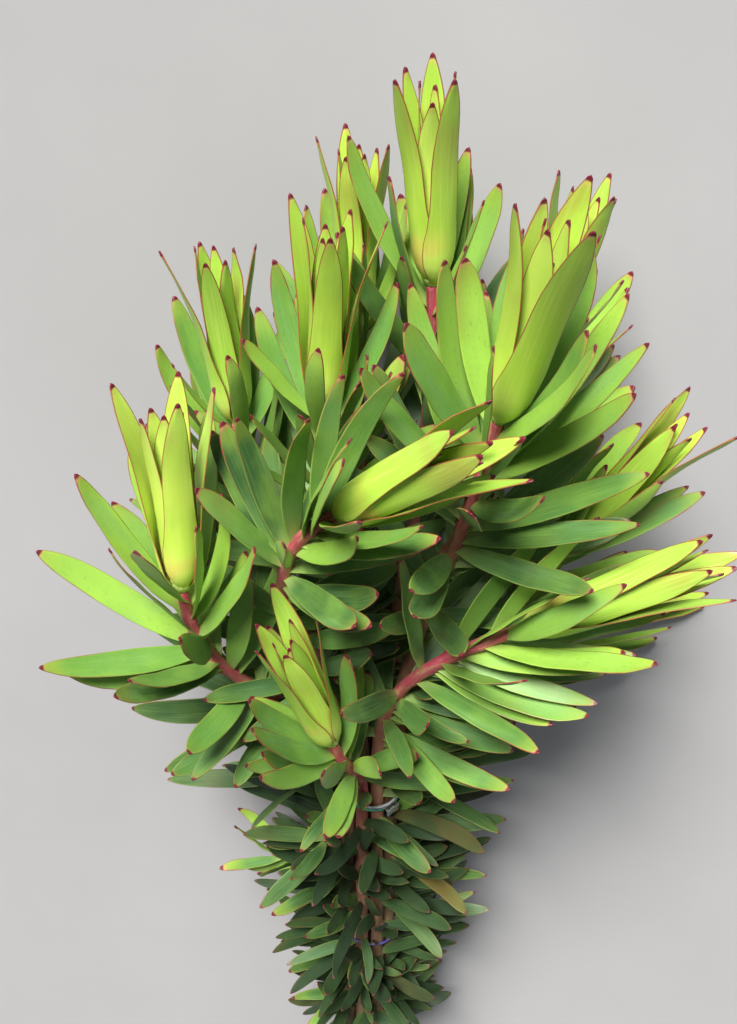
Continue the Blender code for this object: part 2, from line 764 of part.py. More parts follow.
def main():
    for old in list(bpy.data.objects):
        bpy.data.objects.remove(old)
    leafy = finish("leaf_green", (0.16, 0.36, 0.08), 0.5)
    flower = finish("bract_yellow_green", (0.5, 0.68, 0.09), 0.45)
    clear = finish("tie_clear", (0.82, 0.84, 0.86), 0.3)
    metal = finish("clip_metal", (0.7, 0.71, 0.74), 0.3, 1.0)
    blue = finish("rubber_blue", (0.1, 0.1, 0.34), 0.6)
    stems = plan_bunch()
    made = []
    for stem in stems:
        made.append(joined("leafy_stem_" + stem.name, stem_tube(stem), stem.leaves, leafy))
        made.append(joined("flower_head_" + stem.name, core_mesh(stem), stem.bracts, flower))
    made.append(object_from("tie_band", tie_band_mesh(), clear))
    made.append(object_from("rubber_band", rubber_band_mesh(), blue))
    made.append(object_from("tie_clip", clip_mesh(), metal))
    centre_on_origin(made)


if __name__ == "__main__":
    main()
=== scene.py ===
"""Looks for a tied bunch of twelve green leucadendron stems that lies on its side.

The stems, leaves and bracts are laid out from the same named values, and with the same random
draws, as the solids, so that each fine piece keeps its solid's place and form. Lengths are in
metres unless a name says otherwise. +Y runs from the cut ends to the flower heads and +Z is up.
"""

import math
import random
from types import SimpleNamespace as Kind

import bpy
import numpy as np
from mathutils import Matrix, Vector
from mathutils.bvhtree import BVHTree


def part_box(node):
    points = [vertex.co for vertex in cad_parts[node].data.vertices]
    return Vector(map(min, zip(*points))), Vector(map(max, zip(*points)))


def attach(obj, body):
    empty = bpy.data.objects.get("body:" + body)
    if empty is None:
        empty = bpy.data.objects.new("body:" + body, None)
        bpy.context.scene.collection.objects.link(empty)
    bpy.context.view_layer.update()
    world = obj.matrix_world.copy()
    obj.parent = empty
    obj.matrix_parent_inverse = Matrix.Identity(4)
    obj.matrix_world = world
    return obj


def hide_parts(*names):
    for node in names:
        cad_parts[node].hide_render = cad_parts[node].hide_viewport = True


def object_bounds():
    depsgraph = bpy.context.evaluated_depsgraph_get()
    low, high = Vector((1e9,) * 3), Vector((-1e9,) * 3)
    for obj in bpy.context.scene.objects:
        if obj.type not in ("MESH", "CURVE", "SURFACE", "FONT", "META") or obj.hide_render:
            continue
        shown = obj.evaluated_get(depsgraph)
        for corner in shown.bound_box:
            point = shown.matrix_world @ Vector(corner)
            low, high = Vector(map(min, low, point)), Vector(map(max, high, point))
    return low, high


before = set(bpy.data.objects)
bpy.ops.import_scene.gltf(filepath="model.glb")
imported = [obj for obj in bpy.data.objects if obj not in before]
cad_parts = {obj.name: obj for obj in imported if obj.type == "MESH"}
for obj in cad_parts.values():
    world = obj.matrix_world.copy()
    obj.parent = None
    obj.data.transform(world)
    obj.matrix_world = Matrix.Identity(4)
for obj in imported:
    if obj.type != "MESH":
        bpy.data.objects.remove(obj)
cad_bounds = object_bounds()

MM = 0.001
SEED = 4
GOLDEN_ANGLE = math.radians(137.508)

# The bundle of stems at the two ties
STEM_RADIUS = 2.8 * MM
TIP_RADIUS = 2.2 * MM
CUT_RADIUS = 3.2 * MM
INNER_RING = 1.3 * STEM_RADIUS
OUTER_RING = 3.38 * STEM_RADIUS
OUTER_SLOTS = 9
OUTER_TURN = math.radians(-13)
CUT_LENGTH = 0.27
CUT_SPREAD = 1.35
CUT_STAGGER = 0.009
BAND_PLACE = -0.1
LOW_BEND = -0.17
STEM_SIDES = 6

# How stiffly a stem leaves the tie and reaches its head, as shares of the way between them
STRAIGHT_START = 0.36
STRAIGHT_END = 0.38

# How the bunch lies on the surface
LEAN = math.radians(7.0)
CUT_END_DROP = CUT_SPREAD * OUTER_RING + CUT_RADIUS
TIE_HEIGHT = CUT_LENGTH * math.sin(LEAN) + CUT_END_DROP * math.cos(LEAN)

# Blades, which are leaves and bracts. An outline gives the half width at places from root to tip
BLADE_THICKNESS = 0.9 * MM
CLEARANCE = 0.5 * MM
SUNK_ROOT = 0.4
LEAF_LENGTH = 61 * MM
LEAF_HALF_WIDTH = 5.2 * MM
LEAF_OUTLINE = ((0, 0.16), (0.1, 0.28), (0.3, 0.76), (0.55, 1.0), (0.78, 0.96), (0.92, 0.6), (1, 0.0))
LEAF_STATIONS = (0.0, 0.42, 0.86)
LEAF_CUP = 0.14
LEAST_OPEN = 0.5
BRACT_LENGTH = 80 * MM
BRACT_HALF_WIDTH = 5.3 * MM
BRACT_OUTLINE = ((0, 0.16), (0.14, 0.86), (0.4, 1.0), (0.8, 0.93), (0.93, 0.55), (1, 0.0))
BRACT_STATIONS = (0.0, 0.15, 0.4, 0.86)
BRACT_CUP = 0.12

# The bracts of a head: each pair is the outermost bract's value and the innermost one's
BRACTS = 8
BRACT_RISE = (1.1 * MM, 5.5 * MM)
BRACT_BELLY = (4.6 * MM, 1.6 * MM)
BRACT_TIP_OUT = (15 * MM, 1 * MM)
BRACT_LENGTHS = (1.0, 0.84)
BRACT_WIDTHS = (1.0, 0.8)
BRACT_RING = 2.2 * MM
BELLY_PLACE = 0.16
TIP_OUT_POWER = 1.5
# Where a bract's roll sets in and where its foot flattens out: the start, and how much further
# along it is whole
BRACT_ROLL_FROM = (0.25, 0.6)
BRACT_FLAT_FROM = (0.16, 0.34)

# The leaves above the tie: each pair is the value close under a head, where leaves hug it, and
# the value from OPEN_REACH down, where they stand off. Angles are in degrees from the stem
HUG_REACH = 8 * MM
OPEN_REACH = 70 * MM
LEAF_SPREAD = (24, 51)
LEAF_BEND = (-21, -7)
LEAF_STEP = (2.85 * MM, 9.4 * MM)
STEP_REACH = 80 * MM
STEP_UNEVEN = (0.9, 1.1)
LEAF_LENGTHS = (1.14, 0.78)
FIRST_LEAF = 5.5 * MM
BARE_ABOVE_TIE = 10 * MM
CROWN_TRIES = 18
CROWN_NUDGE = math.radians(34)

# How young a leaf looks: 1 close under a head and 0 from YOUNG_REACH down. Shaded leaves go below 0, which
# darkens their colour: painted shade, partly also an older, darker green
YOUNG_REACH = 90 * MM
SHADED_YOUTH = -0.5
FRESH_SHOOT = 30 * MM
LONG_SHOOT_YOUTH = 0.8
SHORT_SHOOT_YOUTH = 0.4 * SHADED_YOUTH

# How much single leaves and bracts vary, in the order of their draws: angles are in degrees, and
# lengths and widths are shares. Each further try of a leaf is shorter by a share
CROWN_LEAF = Kind(
    spread=(-3, 5), raised=(-6, 14), bend=(-7, 6), length=(0.92, 1.06), width=(0.88, 1.08),
    roll=(-22, 22), sickle=(-0.07, 0.07),
)
LOWER_LEAF = Kind(
    turn=(-46, 46), spread=(34, 66), bend=(-18, 22), length=(0.8, 1.05), width=(0.85, 1.05),
    roll=(-26, 26), sickle=(-0.12, 0.12),
)
SHOOT_LEAF = Kind(
    turn=(-8, 8), spread=(-8, 8), bend=(-20, 12), length=(0.84, 1.06), width=(0.9, 1.05),
    roll=(-20, 20), sickle=(-0.08, 0.08),
)
SIDE_LEAF = Kind(
    x=(-0.5, 0.5), y=(-0.5, 0.5), z=(-0.5, 0.5), spread=(28, 76), bend=(-26, 4),
    length=(0.74, 1.06), width=(0.84, 1.0), sickle=(-0.1, 0.1), roll=(-24, 24), youth=(0.0, 0.5),
)
STRAY_TURNS = (50, 115)
STRAY_LEAF = Kind(
    turn=(-1, 1), spread=(16, 84), bend=(-34, 30), length=(0.5, 1.05), width=(0.85, 1.05),
    sickle=(-0.15, 0.15), roll=(-30, 30), youth=(0, 1),
)
SHORTER, LOWER_SHORTER = 0.02, 0.03
BRACT = Kind(length=(0.93, 1.04), width=(0.94, 1.04), tip_out=(0.82, 1.16), roll=(-10, 10))

# The shorter leaves below the tie: each pair is the value at the tie and at the lowest leaf
LOWER_REACH = 0.18
LOWER_LENGTH = (64 * MM, 35 * MM)
LOWER_HALF_WIDTH = (4.5 * MM, 3.5 * MM)
LOWER_TRIES = 10
LOWER_START = (8, 18)
LOWER_STEP = (17, 22)

# How leaves roll towards the light
LIGHT = (0.0, 0.63, 0.78)
LIGHT_TURN = math.radians(75)
LIGHT_SHARE = 0.55

# Side shoots below the tie: the stem that each grows from, how far below the tie it leaves it,
# its turn from straight out, its angle from the stem, its length, and its leaves' length and number
SHOOT_RADIUS = 1.3 * MM
SHOOT_SIDES = 5
SHOOT_LEAF_PLACES = (0.45, 0.97)
SHOOT_LEAF_SPREAD = (62, 26)
SHOOT_LEAF_SHAPE = 0.13
SHOOT_TRIES = 14
TWIG_FOOT, TWIG_TAPER = 1.15, 0.25
TWIG_END, TWIG_ROUND = 1.02, 6
TWIG_BELOW_HEAD = 120.0
SHOOTS = (
    ("left", 4 * MM, 8, 62, 27 * MM, 56 * MM, 6),
    ("centre", 24 * MM, 22, 58, 24 * MM, 46 * MM, 5),
    ("left", 66 * MM, 6, 68, 38 * MM, 33 * MM, 6),
    ("right", 12 * MM, -6, 46, 24 * MM, 46 * MM, 5),
)

# The cone that the bracts close over
CORE_LENGTH = 14 * MM
CORE_RADIUS = 3.4 * MM
CORE_SIDES = 6
CORE_PROFILE = ((0, 0.9), (0.4, 1.0), (1.0, 0.4))
JOINT_GAP = 0.3 * MM

# The ties
TIE_THICKNESS = 1.3 * MM
TIE_WIDTH = 3.2 * MM
BAND_THICKNESS = 1.1 * MM
CLIP_SIZE = (7 * MM, 4.5 * MM, 2.4 * MM)
CLIP_TURN = math.radians(50)
CLIP_FOOT = OUTER_RING + STEM_RADIUS + TIE_THICKNESS + 3 * JOINT_GAP
# Where the clip's block begins to narrow, and its outer face: shares of depth, length and width
CLIP_FACE = (0.7, 0.84, 0.8)
TIE_PLACE = 0.0
TIE_SLANT = 0.2

# The space that the leaves leave free in front of the upper tie and its clip
VIEW_TURN = math.radians(80)
VIEW_DEPTH = 52 * MM
VIEW_LENGTHS = (28 * MM, 26 * MM)
VIEW_WIDTH = 7 * MM
VIEW_LEAN = 1.12

# Each flower head in the bunch's frame, in millimetres: its name, its place in the tied bundle
# (ring and slot), the base of the head, the way it points, and its size
HEADS = (
    ("left", "outer", 5, (-67, 149, 35), (0.0, 1.0, 0.0), 1.08),
    ("low_left", "outer", 3, (-14, 78, 45), (-0.22, 0.95, 0.16), 1.0),
    ("centre", "outer", 4, (-10, 203, 59), (0.6, 0.68, 0.4), 1.0),
    ("upper_left", "inner", 1, (-16, 210, 8), (0.05, 1.0, 0.06), 0.95),
    ("top", "inner", 0, (22, 246, -14), (-0.05, 1.0, 0.04), 1.0),
    ("right_front", "outer", 1, (41, 234, 50), (0.13, 0.96, 0.2), 1.1),
    ("low_right", "outer", 2, (53, 147, 54), (0.84, 0.52, 0.12), 1.0),
    ("back_right", "outer", 7, (64, 208, -30), (0.2, 0.97, 0.0), 0.88),
    ("back", "inner", 2, (-4, 222, -32), (0.0, 1.0, -0.03), 0.88),
    ("back_left", "outer", 6, (-50, 180, -26), (-0.06, 0.99, -0.04), 0.95),
    ("right", "outer", 0, (78, 142, 0), (0.52, 0.85, 0.04), 0.93),
    ("low_back", "outer", 8, (82, 52, -42), (0.94, 0.26, -0.22), 0.88),
)

# Leaves that only the looks add: how far apart along a stem they are tried, above and below the
# tie, and how unevenly. OPEN_STEMS have them on one side alone
MORE_CLEARANCE = 0.05 * MM
MORE_TRIES = 8
MORE_MARGIN = 0.8 * MM
MORE_STEP = 4.2 * MM
MORE_LOWER_STEP = 4.6 * MM
MORE_START, MORE_END = 14 * MM, 3 * MM
MORE_LOWER_START = 5 * MM
MORE_UNEVEN = (0.7, 1.3)
MORE_LOWER_UNEVEN = (0.6, 1.5)
OPEN_STEMS = ("low_right",)
OPEN_SIDE = (0.5, -0.85, 0.15)
SIDE_START, SIDE_END = 16 * MM, 4 * MM
SIDE_STEP = 4 * MM
STRAY_LENGTH = (58 * MM, 34 * MM)
STRAY_SHAPE = 0.13
STRAY_HALF_WIDTH = 5 * MM
STRAY_YOUTH = 1.1
STRAY_RARITY = 6

# The fine blades: how the half width runs from root to tip, as a share of the solid's
FINE_LEAF_OUTLINE = (
    ((0, 0.34), (0.07, 0.46), (0.16, 0.68), (0.28, 0.87), (0.42, 0.97), (0.58, 1.0), (0.7, 0.98))
    + ((0.81, 0.88), (0.9, 0.66), (0.95, 0.43), (0.975, 0.27), (0.99, 0.17), (1, 0.0))
)
FINE_BRACT_OUTLINE = (
    ((0, 0.45), (0.06, 1.05), (0.13, 1.5), (0.22, 1.52), (0.34, 1.22), (0.48, 1.05), (0.66, 0.97))
    + ((0.8, 0.8), (0.89, 0.57), (0.95, 0.34), (0.975, 0.21), (0.99, 0.15), (1, 0.0))
)
FINE_STATIONS = (
    (0, 0.03, 0.07, 0.12, 0.18, 0.25, 0.33, 0.42, 0.51, 0.6, 0.69, 0.77, 0.84)
    + (0.89, 0.93, 0.955, 0.975, 0.99, 0.998)
)
LEAF_COLUMNS = (-1, -0.9, -0.62, -0.3, 0, 0.3, 0.62, 0.9, 1)
BRACT_COLUMNS = (-1, -0.93, -0.74, -0.5, -0.25, 0, 0.25, 0.5, 0.74, 0.93, 1)
MIDDLE_THICKNESS = 0.85 * MM
EDGE_THICKNESS = 0.34 * MM
FLAT_CURVE = 22 * MM
SLIMMEST = 0.78
LEAF_SLIM = 0.94
WITHERED_SHARE = 0.03
WITHERED_BELOW = 0.02
WAVES, RIPPLES = 1.7 * math.pi, 5.5 * math.pi
MOST_CUPPED = 1.45

# How much fine blades vary, in the order of their draws: lengths are in millimetres, and angles in
# degrees. Then where each change sets in: its start, and how much further along it is whole
FINE_BLADE = Kind(
    wave=(-0.9, 0.9), phase=(0, math.tau), hook=(-0.5, 1.3), twist=(-7, 7), ripple=(0.1, 0.32),
    ripple_phase=(0, math.tau), skew=(-0.5, 0.5),
)
FINE_LEAF = Kind(slim=(0.93, 1.04), taper=(-0.12, 0.3))
FROM = Kind(
    wave=(0, 0.3), ripple=(0, 0.25), taper=(0.35, 0.6), thin=(0.5, 0.4), skew=(0.68, 0.5),
    hook=(0.8, 0.2), nib=(0.94, 0.05),
)
TWIST_CENTRE, TWIST_RISE = 0.4, 4
RIPPLE_SLANT = 0.8
THIN_TIP = 0.35
LAST_RING, LAST_THIN = 0.99, 0.62
NIB_SWELL = 0.7
THIN_BULB = 0.6
BULB_END = 0.3

# The small bracts inside a head: each pair is the outermost one's value and the innermost one's
INNER_BRACTS = 6
INNER_RISE = (6, 9)
INNER_LENGTHS = (0.66, 0.42)
INNER_WIDTHS = (0.66, 0.46)
INNER_BELLY = (1.0, 0.1)
INNER_TIP_OUT = (0.4, -1.8)
INNER_UNEVEN = (0.94, 1.05)

# The fine cone: its profile, and how many spirals its scales stand in and how far they stand out
FINE_CORE_PROFILE = ((0, 0.62), (0.18, 0.95), (0.5, 1.0), (0.82, 0.62), (1, 0.12))
SCALE_SPIRALS, SCALE_STEEPNESS = 4, 9
SCALE_HEIGHT = 0.12
SCALE_ROWS = 14
CONE_POINT = 1.03

# The bark, with the cushion under each leaf, and the cut end's rings: share of the radius, depth
BARK_SIDES = 16
BARK_STEP = 1.8 * MM
BARK_AGEING = 36 * MM
BARK_POINTS = 60
CUSHION = Kind(height=0.55 * MM, below=0.8 * MM, length=2.4 * MM, width=1.7 * MM)
UNEVEN_BARK, UNEVEN_LENGTH = 0.06 * MM, 3.1 * MM
SCAR_START, SCAR_END = 14 * MM, 20 * MM
SCAR_STEP = (6, 9)
CUT_RINGS = ((1.0, 0.0), (0.86, 0.12), (0.6, 0.1), (0.34, 0.04), (0.16, -0.25))
PITH_DEPTH = 0.35
ABOVE_SURFACE = 0.0001

# The fine ties
CORD_APART = 0.93 * MM
CORD_TIGHT = 0.96
CORD_WANDER = 0.05 * MM
SIDEWAYS = 0.6
BAND_WANDER = 0.04 * MM
TIN_WALL = 0.45 * MM
CLIP_CORNERS = (0.7 * MM, 0.4 * MM)
CLIP_PINCH, PINCH_REACH = 0.12, 0.3
# Where along the clip's half length its skin runs, and whether on the inner side
CLIP_SPOTS = (
    ((-0.55, True), (-0.985, True), (-1.0, False), (-0.93, False), (-0.45, False), (0, False))
    + ((0.45, False), (0.93, False), (1.0, False), (0.985, True), (0.55, True))
)

# How yellow each head glows
HEAD_GLOW = {
    "left": 1.0, "right_front": 1.0, "low_left": 0.35, "upper_left": 0.4, "back_left": 0.0,
    "low_right": 0.1, "centre": 0.3, "top": 0.7, "back": 0.5, "right": 0.4, "back_right": 0.5,
    "low_back": 0.8,
}

# Colours that more than one finish has, and colours along a run: place, colour
CRIMSON = (0.12, 0.008, 0.018)
MARGIN_RED = (0.24, 0.03, 0.026)
LEAF_GREENS = ((0.0, (0.036, 0.095, 0.026)), (0.45, (0.1, 0.235, 0.04)), (1.0, (0.265, 0.46, 0.055)))
BRACT_GREENS = ((0.0, (0.27, 0.46, 0.05)), (0.5, (0.45, 0.63, 0.06)), (1.0, (0.66, 0.78, 0.14)))
BARK_RUN = 420
BARK_COLOURS = (
    ((0.0, (0.36, 0.035, 0.075)), (0.14, (0.42, 0.075, 0.09)), (0.26, (0.46, 0.18, 0.12)))
    + ((0.45, (0.24, 0.1, 0.06)), (0.62, (0.15, 0.085, 0.045)), (0.85, (0.22, 0.17, 0.07)))
)
WOOD_COLOURS = (
    ((0.2, (0.75, 0.68, 0.45)), (0.34, (0.62, 0.52, 0.3)))
    + ((0.84, (0.55, 0.5, 0.26)), (0.93, (0.17, 0.24, 0.06)))
)

# The view, the floor and the lamps: name, place, width in radians, strength and colour
PHOTO_ANGLE = math.radians(38.9)
EYE = (0.0, 0.489, 0.412)
SENSOR, HALF_VIEW = 36, math.radians(20)
FLOOR_RADIUS, FLOOR_SIDES = 3.0, 24
SKY = (0.86, 0.92, 1.0, 1)
SKY_STRENGTH = 0.2
LAMPS = (
    ("key", (-1.25, 5.2, 3.75), 0.38, 9.3, (1.0, 0.985, 0.965)),
    ("fill", (1.6, -0.4, 1.4), 1.0, 0.42, (0.92, 0.96, 1.0)),
)


def unit(vector):
    return vector / np.linalg.norm(vector)


def between(pair, share):
    """From the first value of a pair at 0 to the second at 1."""
    return pair[0] + (pair[1] - pair[0]) * share


def drawn(kind, chance):
    """One number from each range of a kind, drawn in the order that the kind lists them."""
    return Kind(**{name: chance.uniform(*ends) for name, ends in vars(kind).items()})


def laid(point):
    """A point of the bunch's frame, in metres, leaned over and set down on the surface."""
    x, y, z = point
    return np.array(
        (
            x,
            y * math.cos(LEAN) - z * math.sin(LEAN),
            y * math.sin(LEAN) + z * math.cos(LEAN) + TIE_HEIGHT,
        )
    )


def laid_direction(direction):
    """A direction of the bunch's frame, leaned over with it."""
    return unit(laid(direction) - laid((0, 0, 0)))


def eased(points, t):
    """A smooth curve of one value through a few (place, value) points."""
    places = [p for p, _ in points]
    last = len(points) - 1
    i = max(0, min(last - 1, int(np.searchsorted(places, t, side="right")) - 1))
    (x0, y0), (x1, y1) = points[i], points[i + 1]
    before = points[max(i - 1, 0)]
    after = points[min(i + 2, last)]
    slope0 = (y1 - before[1]) / (x1 - before[0])
    slope1 = (after[1] - y0) / (after[0] - x0)
    s = (t - x0) / (x1 - x0)
    span = x1 - x0
    return (
        (2 * s**3 - 3 * s**2 + 1) * y0
        + (s**3 - 2 * s**2 + s) * span * slope0
        + (3 * s**2 - 2 * s**3) * y1
        + (s**3 - s**2) * span * slope1
    )


def rising(x):
    """From 0 to 1 with a level start and end."""
    x = min(1.0, max(0.0, x))
    return x * x * (3 - 2 * x)


def sets_in(t, place):
    """From 0 at the first value of a place to 1 where its second is added, as rising does."""
    return rising((t - place[0]) / place[1])


def travelled(points):
    """How far along a line of points each of them lies."""
    steps = np.linalg.norm(np.diff(points, axis=0), axis=1)
    return np.concatenate(([0.0], np.cumsum(steps)))


def beside(axis):
    """Two directions square to an axis and to each other, the first on its upper side."""
    first = unit(np.cross(np.cross(axis, (0, 0, 1)), axis))
    return first, np.cross(axis, first)


def round_axis(axis, turn):
    """The direction square to an axis at a turn from its upper side."""
    first, second = beside(axis)
    return math.cos(turn) * first + math.sin(turn) * second


def spiral(axis, count, chance):
    """Places in one spiral round an axis: how far in each lies, from 0 to 1, and its way out."""
    start = chance.uniform(0, math.tau)
    return [(i / (count - 1), round_axis(axis, start + i * GOLDEN_ANGLE)) for i in range(count)]


def walls(rings, sides, closed=False):
    """Four-sided faces between rings of points. Closed, the last ring joins the first."""
    faces = []
    for i in range(rings if closed else rings - 1):
        a, b = i * sides, (i + 1) % rings * sides
        for j in range(sides):
            k = (j + 1) % sides
            faces.append((a + j, a + k, b + k, b + j))
    return faces


def fan(start, sides, end):
    """Triangles from the ring that starts at one point number to a single end point."""
    return [(start + j, start + (j + 1) % sides, end) for j in range(sides)]


def flipped(faces):
    """The same faces, seen from the other side."""
    return [(face[0], *face[:0:-1]) for face in faces]


class Stem:
    """One stem: its centre line from the cut end to the flower head, and its radius along it."""

    def __init__(self, number, head, chance):
        self.number = number
        self.name, ring, slot, base, aim, self.size = head
        turn = OUTER_TURN + math.tau * slot / OUTER_SLOTS if ring == "outer" else math.tau * slot / 3
        radius = OUTER_RING if ring == "outer" else INNER_RING
        self.outer = ring == "outer"
        self.place = np.array((math.cos(turn), 0.0, math.sin(turn))) * radius
        self.base = np.array(base) * MM
        self.aim = unit(np.array(aim))
        self.cut = CUT_LENGTH - chance.uniform(0, CUT_STAGGER)
        self.points = [laid(p) for p in self.lower_points() + self.upper_points()]
        self.along = travelled(self.points)
        self.length = self.along[-1]
        self.tie = self.along[3]

    def lower_points(self, count=None):
        """Below the tie the bundle opens out a little towards the cut ends."""
        bends = (-self.cut, LOW_BEND, BAND_PLACE)
        places = np.linspace(-self.cut, 0, count)[:-1] if count else bends
        return [self.place * bundle_spread(y) + np.array((0, y, 0)) for y in places]

    def upper_points(self, count=8):
        """Above the tie it leaves along the bunch and curves over to the way its head points."""
        start = self.place
        reach = np.linalg.norm(self.base - start)
        first = start + np.array((0, STRAIGHT_START * reach, 0))
        second = self.base - self.aim * STRAIGHT_END * reach
        made = []
        for i in range(count):
            s = i / (count - 1)
            made.append(
                (1 - s) ** 3 * start
                + 3 * s * (1 - s) ** 2 * first
                + 3 * s * s * (1 - s) * second
                + s**3 * self.base
            )
        return made

    def at(self, distance):
        """The centre and the direction at a distance from the cut end."""
        i = int(np.clip(np.searchsorted(self.along, distance) - 1, 0, len(self.points) - 2))
        s = (distance - self.along[i]) / (self.along[i + 1] - self.along[i])
        centre = self.points[i] * (1 - s) + self.points[i + 1] * s
        return centre, unit(self.points[i + 1] - self.points[i])

    def radius(self, distance):
        share = distance / self.length
        return eased(((0, CUT_RADIUS), (self.cut / self.length, STEM_RADIUS), (1, TIP_RADIUS)), share)

    def way_out(self, axis, turn):
        """The way out of the bundle from this stem, turned about the stem."""
        out = laid_direction(unit(self.place))
        return unit(math.cos(turn) * out + math.sin(turn) * np.cross(axis, out))

    def leaf(self, distance, out, spread, bend, length, half_width, roll, sickle, youth):
        """A leaf at a distance from the cut end."""
        centre, axis = self.at(distance)
        root = centre + out * SUNK_ROOT * self.radius(distance)
        made = lit_leaf(root, axis, out, spread, bend, length, half_width, roll, sickle, youth)
        made.distance = distance
        return made


def bundle_spread(y):
    """How far the stems stand apart at y below the tie, as a share of their spacing at the tie."""
    return 1 + (CUT_SPREAD - 1) * max(0.0, -y) / CUT_LENGTH


def rolled(side, normal, turn):
    """The side and the upper normal of a blade that is rolled about its length."""
    cos, sin = math.cos(turn), math.sin(turn)
    return cos * side + sin * normal, cos * normal - sin * side


def ring_points(centre, direction, radius, sides):
    """A ring of points round a direction, from its upper side."""
    first, second = beside(direction)
    turns = [math.tau * i / sides for i in range(sides)]
    return [centre + radius * (math.cos(a) * first + math.sin(a) * second) for a in turns]


def tube(rings):
    """The points and outward faces of a closed tube through rings of points, with flat ends."""
    sides, points = len(rings[0]), [p for ring in rings for p in ring]
    start, end = tuple(range(sides))[::-1], tuple(range(len(points) - sides, len(points)))
    return points, [start, *walls(len(rings), sides), end]


def stem_tube(stem):
    """The bare stem, cut flat across at both ends."""
    rings = []
    for i, point in enumerate(stem.points):
        before = stem.points[max(i - 1, 0)]
        after = stem.points[min(i + 1, len(stem.points) - 1)]
        radius = stem.radius(stem.along[i])
        rings.append(ring_points(point, unit(after - before), radius, STEM_SIDES))
    return tube(rings)


class Blade:
    """A leaf: it leaves the stem at an angle, bends towards or away from it, and may lie rolled."""

    outline = LEAF_OUTLINE
    fine_outline = FINE_LEAF_OUTLINE
    columns = LEAF_COLUMNS
    cup = LEAF_CUP
    stations = LEAF_STATIONS

    def __init__(self, root, axis, out, length, half_width, spread, bend, roll, sickle):
        self.root, self.axis, self.out = root, axis, out
        self.length, self.half_width = length, half_width
        self.spread, self.bend, self.roll, self.sickle = spread, bend, roll, sickle
        self.youth = 0.5

    def spine(self, t):
        """Centre, side, upper normal at t, from 0 at the root to 1 at the tip."""
        a, b = self.spread, self.bend if abs(self.bend) > 1e-3 else 1e-3
        up = (math.sin(a + b * t) - math.sin(a)) / b
        over = (math.cos(a) - math.cos(a + b * t)) / b
        side = np.cross(self.out, self.axis)
        centre = self.root + self.length * (up * self.axis + over * self.out)
        centre = centre + side * self.sickle * self.length * t * t
        slope = a + b * t
        normal = math.sin(slope) * self.axis - math.cos(slope) * self.out
        return centre, *rolled(side, normal, self.roll)

    def width(self, t):
        return self.half_width * eased(self.outline, t)

    def section(self, t, thickness, extra):
        """Left edge, right edge and keel of the leaf at t, kept above the surface."""
        centre, side, normal = self.spine(t)
        width = self.width(t) + extra
        lift = normal * (width * self.cup + extra)
        left, right = centre - side * width + lift, centre + side * width + lift
        keel = centre - normal * thickness / 2
        for point, floor in ((left, thickness), (right, thickness), (keel, 0.0)):
            point[2] = max(point[2], floor)
        return [left, right, keel]

    def lies_well(self):
        """Whether the surface, where it presses the leaf, leaves it flat and not folded over."""
        for t in self.stations:
            centre, side, normal = self.spine(t)
            left, right, keel = self.section(t, BLADE_THICKNESS, 0.0)[:3]
            face = np.cross(right - left, keel - left)
            ahead = np.cross(side, -normal)
            if face @ ahead < LEAST_OPEN * BLADE_THICKNESS * self.width(t):
                return False
        return True

    def mesh(self, grow=0.0):
        """Points and faces of the closed blade, which narrows to a point at its tip."""
        thickness = BLADE_THICKNESS + 2 * grow
        rings = [self.section(t, thickness, grow) for t in self.stations]
        tip, side, normal = self.spine(1.0)
        tip[2] = max(tip[2], thickness / 2)
        return pointed(rings, tip)

    def curve(self, t):
        """How strongly the fine blade is curved across at t, as one over the radius."""
        return 2 * self.cup / self.half_width


def pointed(rings, tip):
    """A closed blade through rings of points, which ends in one point. The first half of each
    ring is its upper face, and both faces are split into triangles alike, so that they never cross."""
    sides = len(rings[0])
    points = [p for ring in rings for p in ring] + [tip]
    faces = [(0, j + 1, j) for j in range(1, sides - 1)]
    for i in range(len(rings) - 1):
        for j in range(sides):
            k = (j + 1) % sides
            a, b = i * sides, (i + 1) * sides
            if j < sides // 2:
                faces += [(a + j, a + k, b + k), (a + j, b + k, b + j)]
            else:
                faces += [(a + j, a + k, b + j), (a + k, b + k, b + j)]
    return points, faces + fan((len(rings) - 1) * sides, sides, len(points) - 1)


